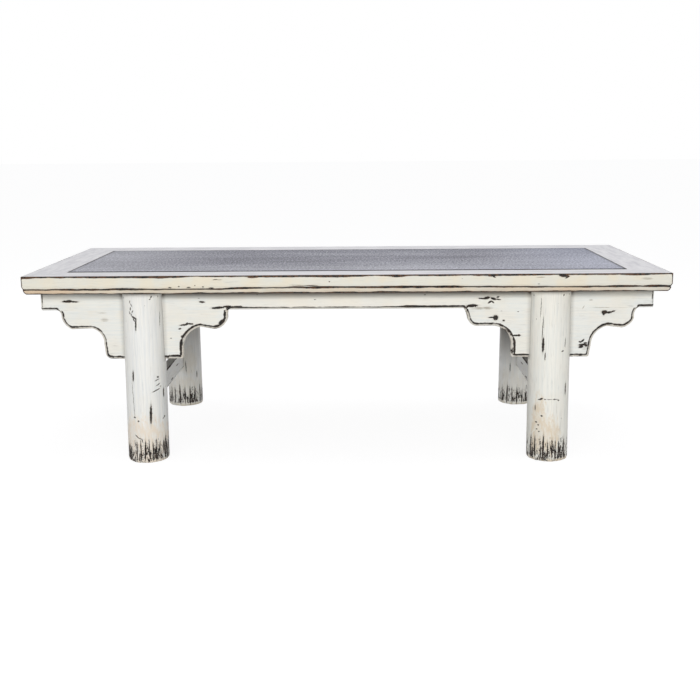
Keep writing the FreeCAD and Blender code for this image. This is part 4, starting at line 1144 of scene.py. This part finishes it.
def cutMesh(points, faces, boxes):
    # what is left of a shape when the boxes are taken out of it
    block = placeObject("uncut", plainMesh("uncut", points.tolist(), faces))
    cutter = placeObject("cutter", plainMesh("cutter", *boxShapes(boxes)))
    change = block.modifiers.new("cut", "BOOLEAN")
    change.object, change.operation, change.solver = cutter, "DIFFERENCE", "EXACT"
    bpy.context.view_layer.update()
    done = bpy.data.meshes.new_from_object(block.evaluated_get(bpy.context.evaluated_depsgraph_get()))
    found = readPoints(done), [tuple(face.vertices) for face in done.polygons]
    for item in (block, cutter):
        bpy.data.objects.remove(item)
    bpy.data.meshes.remove(done)
    return found


def legShape(sideX, sideY, seed, hollows):
    # hollows are dents as around, up, half length, half width and depth in millimetres and a tilt in degrees
    look = legLook
    radius, tall = legRadius / mm, underZ / mm
    footRows = np.arange(look["soleRows"][-1] + look["footRise"], look["footZone"], look["footRise"])
    shaftRows = int((tall - look["footZone"]) / look["rise"])
    heights = np.concatenate([look["soleRows"], footRows,
                              np.linspace(look["footZone"], tall - look["topRound"], shaftRows), [tall]])
    around = look["around"]
    turn = np.tile(np.arange(around) / around * 2 * pi, len(heights))
    unitX, unitY = np.sin(turn), -np.cos(turn)
    z = np.repeat(heights, around)
    spots = np.stack([unitX * legRadius, unitY * legRadius, z * mm], 1)
    sink = look["dent"] * (0.5 + 0.5 * ripple(spots, 0.09, seed))
    sink += look["toolMarks"] * (1 + ripple(spots * (1, 1, 0.25), 0.016, seed + 1))
    ragged = 1 + 0.55 * ripple(spots, 0.016, seed + 2) + 0.3 * ripple(spots, 0.006, seed + 3)
    sole = look["footRound"] * clampArray(ragged, 0.25, 1.6)
    below = clampArray(1 - z / sole)
    sink = sink * clampArray((tall - z) / 30) + sole * (1 - np.sqrt(1 - below ** 2)) * 0.8
    fibre = ripple(spots * (1, 1, 0.12), 0.006, seed + 4)
    sink += look["splits"] * clampArray(fibre) * clampArray(1.3 - z / 42)
    arc = ((turn + pi) % (2 * pi) - pi) * radius
    for across, up, long, short, deep, tilt in hollows:
        lean = radians(tilt)
        dx, dz = arc - across, z - up
        share = np.hypot((dx * cos(lean) + dz * sin(lean)) / long, (dz * cos(lean) - dx * sin(lean)) / short)
        sink += deep * clampArray(1 - share ** 2)
    reach = (radius - sink) * mm
    points = np.stack([unitX * reach + legX * sideX, unitY * reach + legCentreY(z * mm) * sideY, z * mm], 1)
    return points, sweepFaces(len(heights), around)


def makeLeg(name, node, sideX, sideY, seed, material, hollows, shade):
    # the slot takes the spandrel and the apron, the housing takes the stretcher's end
    look = legLook
    room, reach = look["slotRoom"] * mm, look["slotReach"] * mm
    nearY, farY = sorted((apronLow.y * -sideY, apronHigh.y * -sideY))
    slot = ((legX * sideX - reach, nearY - room, spandrelLow.z - room),
            (legX * sideX + reach, farY + room, underZ + look["overcut"] * mm))
    barX = sorted((abs(stretcherLow.x) * sideX, abs(stretcherHigh.x) * sideX))
    barY = sorted((look["housingStart"] * mm * sideY, stretcherHigh.y * sideY))
    housing = ((barX[0] - room, barY[0], stretcherLow.z - room),
               (barX[1] + room, barY[1], stretcherHigh.z + room))
    points, faces = cutMesh(*legShape(sideX, sideY, seed, hollows), [slot, housing])

    z = points[:, 2]
    across, back = points[:, 0] - legX * sideX, points[:, 1] - legCentreY(z) * sideY
    depth = (legRadius - np.hypot(across, back)) / mm
    # painted shade inside the slot, dirt and painted shade beside it, and painted shade under the frame
    # round the top
    wall = clampArray(depth - look["wallDepth"]) * look["slotWallShade"]
    slotGap = np.minimum(abs(points[:, 1] - nearY), abs(points[:, 1] - farY)) / mm
    inSlot = sum(clampArray(1 - slotGap / near) * share for near, share in look["slotDirtAndShade"])
    inSlot = inSlot * (z > spandrelLow.z - 4 * mm)
    collar = clampArray(1 - (underZ - z) / (look["collar"] * mm)) ** 1.5 * look["collarShade"]
    # painted shade on the inner side of the back legs' tops
    innerTopShade = shade * clampArray((z / mm - look["shadeFrom"]) / look["shadeRise"])
    innerTopShade = innerTopShade * clampArray(0.6 - sideY * back / legRadius)
    layers = {
        "grain": np.stack([z, across, back], 1),
        "face": np.stack([across, -back, z], 1),
        "bare": clampArray(depth - look["bareDepth"], -6, 2),
        "dirtAndShade": np.max([inSlot, wall, collar, innerTopShade], axis=0),
    }
    newPiece(name, points, faces, node, material, layers, 34)


legPaint = {"brushWidth": 0.8, "ragged": 0.5, "specks": 0.3, "warmth": 0.14, "fineMarks": 0.22, "hair": 0.22,
            "rimStain": 0.25, "scarShake": 2.4, "brownShare": 0.2, "sheen": 0.55, "flame": 0.055,
            "footRim": 0.1, "washShare": 1.0,
            "white": (236, 236, 233), "cool": (225, 227, 227), "cream": (234, 229, 218)}
# Marks on each leg: around from its front, up from the floor, half length, half width, tilt from level
legScars = {
    "FrontLeft": [
        (-24, 374, 3, 0.9, 70), (-20, 366, 4, 0.8, -60), (-23, 358, 3.5, 1.0, 80), (-17.5, 352, 3, 0.8, 60),
        (-26, 349, 3, 0.8, 85), (-21, 345, 3.5, 0.9, -70), (-13.7, 338, 6, 1.8, -28),
        (-10.2, 323, 13, 1.6, 87), (-14.5, 333, 4, 1.3, -60), (27.1, 384, 3, 1.1, 60), (24, 379, 2, 0.9, 0),
        (49, 332, 16, 0.6, 88), (-22.5, 203, 11, 1.9, 88), (37.4, 199.4, 2.2, 1.8, 0),
        (31.4, 169, 10, 0.9, 19), (37, 182, 6, 0.8, 25), (34.6, 192.8, 5.5, 0.7, 16), (44, 177, 2, 0.7, 0),
        (53.8, 161, 10, 1.8, 88), (17, 114.5, 20.5, 2.5, 88), (-24.5, 152, 40, 0.5, -87),
        (-22.4, 107.1, 2.4, 1.7, 0), (-12.8, 99.1, 2, 1.4, 0), (54.3, 104.4, 2.2, 1.5, 0),
        (50, 101, 3, 0.8, 20), (-19, 63.5, 4.5, 1.1, -40), (-11.5, 59, 6, 0.9, -20),
        (-5, 53.5, 4.5, 0.9, -80), (55, 35, 22, 2.2, 88), (50, 28, 20, 1.8, 92), (60, 26, 20, 2.4, 90),
        (46, 33, 16, 1.2, 85), (-44, 22, 18, 2.4, 94), (-38, 20, 15, 2.2, 85), (-50, 22, 18, 2.2, 92),
        (-33, 15, 10, 1.6, 60), (-31.6, 5, 8, 1.3, -22), (8.5, 7, 4, 1.8, -60), (-19.5, 28, 20, 1.5, 89),
        (-9, 31, 22, 1.2, 91), (1.5, 30, 21, 1.6, 88), (10.5, 31, 23, 1.1, 90), (19.7, 29, 18, 1.5, 92),
        (28, 31, 20, 1.2, 89)],
    "FrontRight": [
        (-28.2, 355, 21, 0.6, 88), (-23, 309, 23, 0.8, 87), (-21.5, 271, 16, 2.6, 89),
        (-16.4, 245, 8, 1.2, 89), (25.2, 383.6, 2.5, 1.1, 60), (33.1, 275, 10, 0.9, 88),
        (25.5, 256, 3, 1.1, 20), (-23.5, 146, 3.8, 1.8, 20), (-27, 144.5, 4, 1.0, 10),
        (-14.2, 145.9, 2.2, 0.9, 0), (-4, 146, 6, 0.5, 0), (7.3, 146.2, 2.4, 1.2, 0), (13, 146, 4, 0.5, 0),
        (17.2, 143.2, 2, 1.3, 0), (38.3, 167.6, 12.5, 1.8, 90), (-38.3, 124, 6, 1.0, 90),
        (-21.4, 106.9, 2.2, 1.7, 0), (-34.8, 90.9, 2.4, 1.5, 0), (-29.4, 84.8, 2, 1.3, 0),
        (-33, 75, 1.8, 1.1, 0), (-27, 70, 1.7, 1.0, 0), (-50, 32, 26, 1.9, 88), (-37, 32, 24, 1.6, 90),
        (-16.5, 32, 27, 2.1, 89), (-22, 22, 14, 1.4, 91), (-6, 28, 19, 1.2, 91), (4, 29, 20, 1.4, 90),
        (11.4, 28, 22, 1.3, 89), (20.4, 28, 19, 1.7, 90), (36.4, 29, 22, 1.8, 91)],
    "BackLeft": [
        (44.5, 89, 9, 1.2, 88), (11.5, 113, 14, 0.9, 92), (-36, 32, 22, 1.6, 90), (-24, 30, 20, 1.2, 89),
        (-8, 34, 26, 2.0, 91), (6, 32, 22, 1.3, 90), (20, 30, 24, 1.8, 89), (35, 31, 22, 1.4, 90),
        (55, 32, 24, 2.0, 91)],
    "BackRight": [
        (-23, 107, 12, 0.9, 90), (-48, 26, 20, 1.6, 90), (-30, 30, 24, 2.0, 89), (-15.5, 28, 20, 1.3, 91),
        (-2, 27, 22, 1.7, 90), (12.5, 25, 18, 1.2, 89)],
}
# Where each foot has a warm wash above the dark tongues, in the same measures
legWashes = {
    "FrontLeft": [(-5, 52, 95, 64, 0)],
    "FrontRight": [(-30, 95, 66, 22, 88), (-34, 50, 44, 24, 88), (-2, 62, 28, 52, 0)],
    "BackLeft": [(0, 40, 90, 56, 0), (20, 130, 30, 50, 0)],
    "BackRight": [(0, 40, 90, 66, 0)],
}
# What differs from leg to leg: warmth of the paint, strength of the wash, pale rim under the tongues, and
# the back legs' paler white and cool, which are painted light for the light the floor throws up under the
# table
legTraits = {
    "FrontLeft": {"warmth": 0.18, "footRim": 0.12, "wash": (229, 218, 203)},
    "FrontRight": {"warmth": 0.3, "footRim": 0.12, "wash": (220, 207, 187), "hair": 0.35, "fineMarks": 0.3,
                   "flame": 0.058, "white": (235, 234, 227), "cool": (226, 227, 222)},
    "BackLeft": {"warmth": 0.3, "footRim": 0.5, "washShare": 0.45, "specks": 0.5,
                 "white": (243, 243, 240), "cool": (231, 233, 233)},
    "BackRight": {"warmth": 0.25, "footRim": 0.6, "washShare": 0.3, "specks": 0.5,
                  "white": (247, 247, 243), "cool": (238, 240, 240)},
}
# How much painted shade darkens the top of each leg on its inner side
legShades = {"FrontLeft": 0.0, "FrontRight": 0.0, "BackLeft": 0.32, "BackRight": 0.78}
# Round the far side of every leg, where the same wear goes on
farScars = [
    (70, 30, 22, 1.6, 90), (88, 34, 26, 2.4, 89), (104, 27, 19, 1.4, 91), (121, 31, 24, 2.0, 90),
    (-72, 29, 20, 1.5, 90), (-90, 33, 25, 2.2, 91), (-112, 28, 19, 1.6, 89), (-131, 30, 22, 1.8, 90),
    (96, 214, 22, 0.8, 86), (-104, 176, 15, 1.0, 94), (128, 150, 9, 1.3, 60), (-84, 300, 14, 0.7, 90)]


def legMaterial(name, traits, scars, washes):
    # the marks lie on the round face, so their place is worked out from the angle round the leg
    material = paintedWood(name, {**legPaint, **traits}, scars, [], washes)
    tree = material.node_tree
    plain = next(node for node in tree.nodes if node.type == "ATTRIBUTE" and node.attribute_name == "face")
    parts = addNode(tree, "ShaderNodeSeparateXYZ", {0: plain.outputs["Vector"]})
    angle = calculate(tree, "ARCTAN2", parts.outputs[0], parts.outputs[1])
    rolled = addNode(tree, "ShaderNodeCombineXYZ", {0: times(tree, angle, legRadius), 1: parts.outputs[2]})
    for link in list(plain.outputs["Vector"].links):
        if link.to_node != parts:
            tree.links.new(rolled.outputs[0], link.to_socket)
    return material


# Wide marks above the foot are dented too
hollowLook = {"from": 60, "widerThan": 1.4, "atLeast": 2.2, "deep": 0.7}
for key, node, sideX, sideY, seed in (("FrontLeft", "leg_front_left", -1, -1, 7),
                                      ("FrontRight", "leg_front_right", 1, -1, 13),
                                      ("BackLeft", "leg_back_left", -1, 1, 19),
                                      ("BackRight", "leg_back_right", 1, 1, 25)):
    marks = legScars[key] + farScars
    hollows = [(across, up, long, max(short, hollowLook["atLeast"]), hollowLook["deep"], tilt)
               for across, up, long, short, tilt in marks
               if short > hollowLook["widerThan"] and up > hollowLook["from"]]
    paint = legMaterial("legPaint" + key, legTraits[key], marks, legWashes[key])
    makeLeg("leg" + key, node, sideX, sideY, seed, paint, hollows, legShades[key])
print("legs made")


# Side stretchers, low bars between a front and a back leg

stretcherLook = {"round": 2.0, "stationGap": 4.0, "arrisWear": (1.0, 2.56), "hollow": 0.3, "topDarkening": 0.5}
# The stretchers' paint is paler than the legs': painted light standing in for light thrown up from the floor
stretcherPaint = {"brushWidth": 1.1, "ragged": 0.9, "specks": 0.4, "warmth": 0.2, "fineMarks": 0.4,
                  "rimStain": 0.4, "scarShake": 2.0, "brownShare": 0.6, "sheen": 0.6, "hair": 0.4,
                  "white": (247, 247, 244), "cool": (241, 242, 242), "cream": (238, 234, 224)}


def roundedSection(wide, tall, rounding):
    # a rectangle with round corners, in millimetres, from its upper left corner down and round
    arcs = []
    for first, (x, z) in enumerate(((0, tall), (0, 0), (wide, 0), (wide, tall))):
        angles = pi / 2 * (1 + first + np.arange(5) / 4)
        arcs.append([(abs(x - rounding) + rounding * cos(angle), abs(z - rounding) + rounding * sin(angle))
                     for angle in angles])
    section = []
    for arc, after in zip(arcs, arcs[1:] + arcs[:1]):
        section += arc + straight(arc[-1], after[0], 3.0)[1:]
    return np.array(section)


def makeStretcher(name, node, sideX, seed, material):
    look = stretcherLook
    wide, tall = (stretcherHigh.x - stretcherLow.x) / mm, (stretcherHigh.z - stretcherLow.z) / mm
    section = roundedSection(wide, tall, look["round"])
    around = len(section)
    half = stretcherHigh.y
    stations = int(2 * half / mm / look["stationGap"]) + 1
    place = np.repeat(np.linspace(-half, half, stations), around)
    across, height = np.tile(section[:, 0], stations), np.tile(section[:, 1], stations)
    corner = np.min([np.hypot(across - x, height - z) for x in (0, wide) for z in (0, tall)], axis=0)
    wear = varied(look["arrisWear"], wavering(place + height * 0.3 * mm, seed))
    spots = np.stack([place, across * mm, height * mm], 1)
    sink = look["hollow"] * (1 + ripple(spots, 0.05, seed + 1))
    toward = np.stack([wide / 2 - across, tall / 2 - height], 1)
    toward /= np.linalg.norm(toward, axis=1)[:, None]
    across2, height2 = across + toward[:, 0] * sink, height + toward[:, 1] * sink
    points = np.stack([(across2 - wide / 2) * mm + (stretcherLow.x + stretcherHigh.x) / 2 * -sideX,
                       -place, stretcherLow.z + height2 * mm], 1)
    layers = {
        "grain": np.stack([place + seed, across * mm, height * mm], 1),
        "face": np.stack([place, points[:, 2], 0 * place], 1),
        "bare": wear - corner + look["round"] * 0.4,
        # the top face is darker
        "dirtAndShade": look["topDarkening"] * clampArray(height - tall + 1),
    }
    faces = [tuple(reversed(face)) for face in sweepFaces(stations, around)]
    newPiece(name, points, faces, node, material, layers)


stretcherScars = [(-120, 140, 16, 1.2, 2), (60, 128, 22, 1.0, -3), (150, 146, 9, 1.8, 5),
                  (-40, 120, 12, 1.6, 0)]
stretcherMaterial = paintedWood("stretcherPaint", stretcherPaint, stretcherScars)
makeStretcher("stretcherLeft", "side_stretcher_left", -1, 51, stretcherMaterial)
makeStretcher("stretcherRight", "side_stretcher_right", 1, 57, stretcherMaterial)
print("stretchers made")


# Plain wood of the braces, pegs and dowels, which keep their own shapes

woodLook = {"streaks": (0.35, 0.68), "pores": (0.58, 0.7), "poreShare": 0.5, "poreScale": 4.5,
            "poreColour": (52, 38, 28), "rough": 0.78, "relief": 0.3}


def plainWood(name, light, dark, along):
    look = woodLook
    material, tree, shader = newMaterial(name)
    place = addNode(tree, "ShaderNodeTexCoord").outputs["Object"]
    streak = noiseAt(tree, place, along, 4.0, 0.6)
    pores = noiseAt(tree, place, tuple(look["poreScale"] * part for part in along))
    base = blendColour(tree, ease(tree, streak, *look["streaks"]), colour(*light), colour(*dark))
    share = times(tree, ease(tree, pores, *look["pores"]), look["poreShare"])
    base = blendColour(tree, share, base, colour(*look["poreColour"]))
    tree.links.new(base, shader.inputs["Base Color"])
    shader.inputs["Roughness"].default_value = look["rough"]
    addBump(tree, shader, times(tree, plus(tree, streak, pores), look["relief"] * mm), 0.7)
    return material


def dress(node, material):
    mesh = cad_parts[node].data
    mesh.materials.clear()
    mesh.materials.append(material)


braceWood = plainWood("bareWood", (150, 122, 92), (104, 80, 58), (150.0, 7.0, 150.0))
pegWood = plainWood("pegWood", (138, 108, 78), (92, 68, 48), (220.0, 220.0, 30.0))
for key in ("left", "middle", "right"):
    dress("brace_" + key, braceWood)
for key in ("mitre_pegs", "apron_dowels", "spandrel_dowels", "stretcher_pegs"):
    dress(key, pegWood)
print("braces and pegs dressed")


# Floor, light and camera

studioLook = {"world": 0.42, "floorReach": 30, "floorColour": (236, 236, 236), "floorRough": 0.9,
              "floorGlow": 0.9, "floorShade": (120, 120, 122)}
cameraLook = {"place": (0.04221, -2.65435, 0.73533), "lens": 54.561, "sensor": 36.0, "yaw": -0.01430,
              "pitch": 0.19832, "roll": -0.00779}
lampLook = {
    "frontSoft": {"place": (-0.2, -4.6, 1.75), "target": (0, -0.3, 0.25), "width": 4.6, "height": 1.95,
                  "power": 122, "tint": (1.0, 0.99, 0.965)},
    "topSoft": {"place": (0.2, 0.3, 2.6), "target": (0, 0, 0.4), "width": 2.4, "height": 1.6,
                "power": 23, "tint": (0.95, 0.96, 1.0)},
}


def makeFloor():
    look = studioLook
    reach = look["floorReach"]
    corners = [(-reach, -reach, 0), (reach, -reach, 0), (reach, reach, 0), (-reach, reach, 0)]
    floor = placeObject("floor", plainMesh("floor", corners, [(0, 1, 2, 3)]))
    material, tree, shader = newMaterial("floorPale")
    shader.inputs["Base Color"].default_value = colour(*look["floorColour"])
    shader.inputs["Roughness"].default_value = look["floorRough"]
    shader.inputs["Specular IOR Level"].default_value = 0.0
    glow = addNode(tree, "ShaderNodeEmission", {"Color": (1, 1, 1, 1), "Strength": look["floorGlow"]})
    thin = addNode(tree, "ShaderNodeBsdfDiffuse", {"Color": colour(*look["floorShade"])})
    pale = addNode(tree, "ShaderNodeAddShader", {0: glow.outputs[0], 1: thin.outputs[0]})
    mix = addNode(tree, "ShaderNodeMixShader",
                  {0: seenDirectly(tree), 1: shader.outputs[0], 2: pale.outputs[0]})
    tree.links.new(mix.outputs[0], tree.nodes["Material Output"].inputs["Surface"])
    floor.data.materials.append(material)


def seenDirectly(tree):
    # 1 where the camera looks straight at the floor or the sky, or through a mirror or glass
    path = addNode(tree, "ShaderNodeLightPath").outputs
    straightOn = larger(tree, path["Is Camera Ray"], path["Is Glossy Ray"])
    return larger(tree, straightOn, path["Is Transmission Ray"])


def makeWorld():
    world = bpy.data.worlds.new("studio")
    world.use_nodes = True
    tree = world.node_tree
    tree.nodes.clear()
    dome = addNode(tree, "ShaderNodeBackground", {"Color": (1, 1, 1, 1), "Strength": studioLook["world"]})
    white = addNode(tree, "ShaderNodeBackground", {"Color": (1, 1, 1, 1), "Strength": 1.0})
    mix = addNode(tree, "ShaderNodeMixShader",
                  {0: seenDirectly(tree), 1: dome.outputs[0], 2: white.outputs[0]})
    addNode(tree, "ShaderNodeOutputWorld", {"Surface": mix.outputs[0]})
    bpy.context.scene.world = world


def makeLamp(name, look):
    lamp = bpy.data.lights.new(name, "AREA")
    lamp.shape, lamp.size, lamp.size_y = "RECTANGLE", look["width"], look["height"]
    lamp.energy, lamp.color = look["power"], look["tint"]
    item = placeObject(name, lamp)
    item.location = look["place"]
    aim = Vector(look["target"]) - Vector(look["place"])
    item.rotation_euler = aim.to_track_quat("-Z", "Y").to_euler()


def makeCamera():
    look = cameraLook
    data = bpy.data.cameras.new("camera")
    data.lens, data.sensor_width, data.sensor_fit = look["lens"], look["sensor"], "HORIZONTAL"
    camera = placeObject("camera", data)
    camera.matrix_world = (Matrix.Translation(look["place"]) @ Matrix.Rotation(-look["yaw"], 4, "Z")
                           @ Matrix.Rotation(pi / 2 - look["pitch"], 4, "X")
                           @ Matrix.Rotation(look["roll"], 4, "Z"))
    bpy.context.scene.camera = camera


makeFloor()
makeWorld()
for name, look in lampLook.items():
    makeLamp(name, look)
makeCamera()
bpy.context.scene.view_settings.view_transform = "Standard"
print("floor, light and camera set")
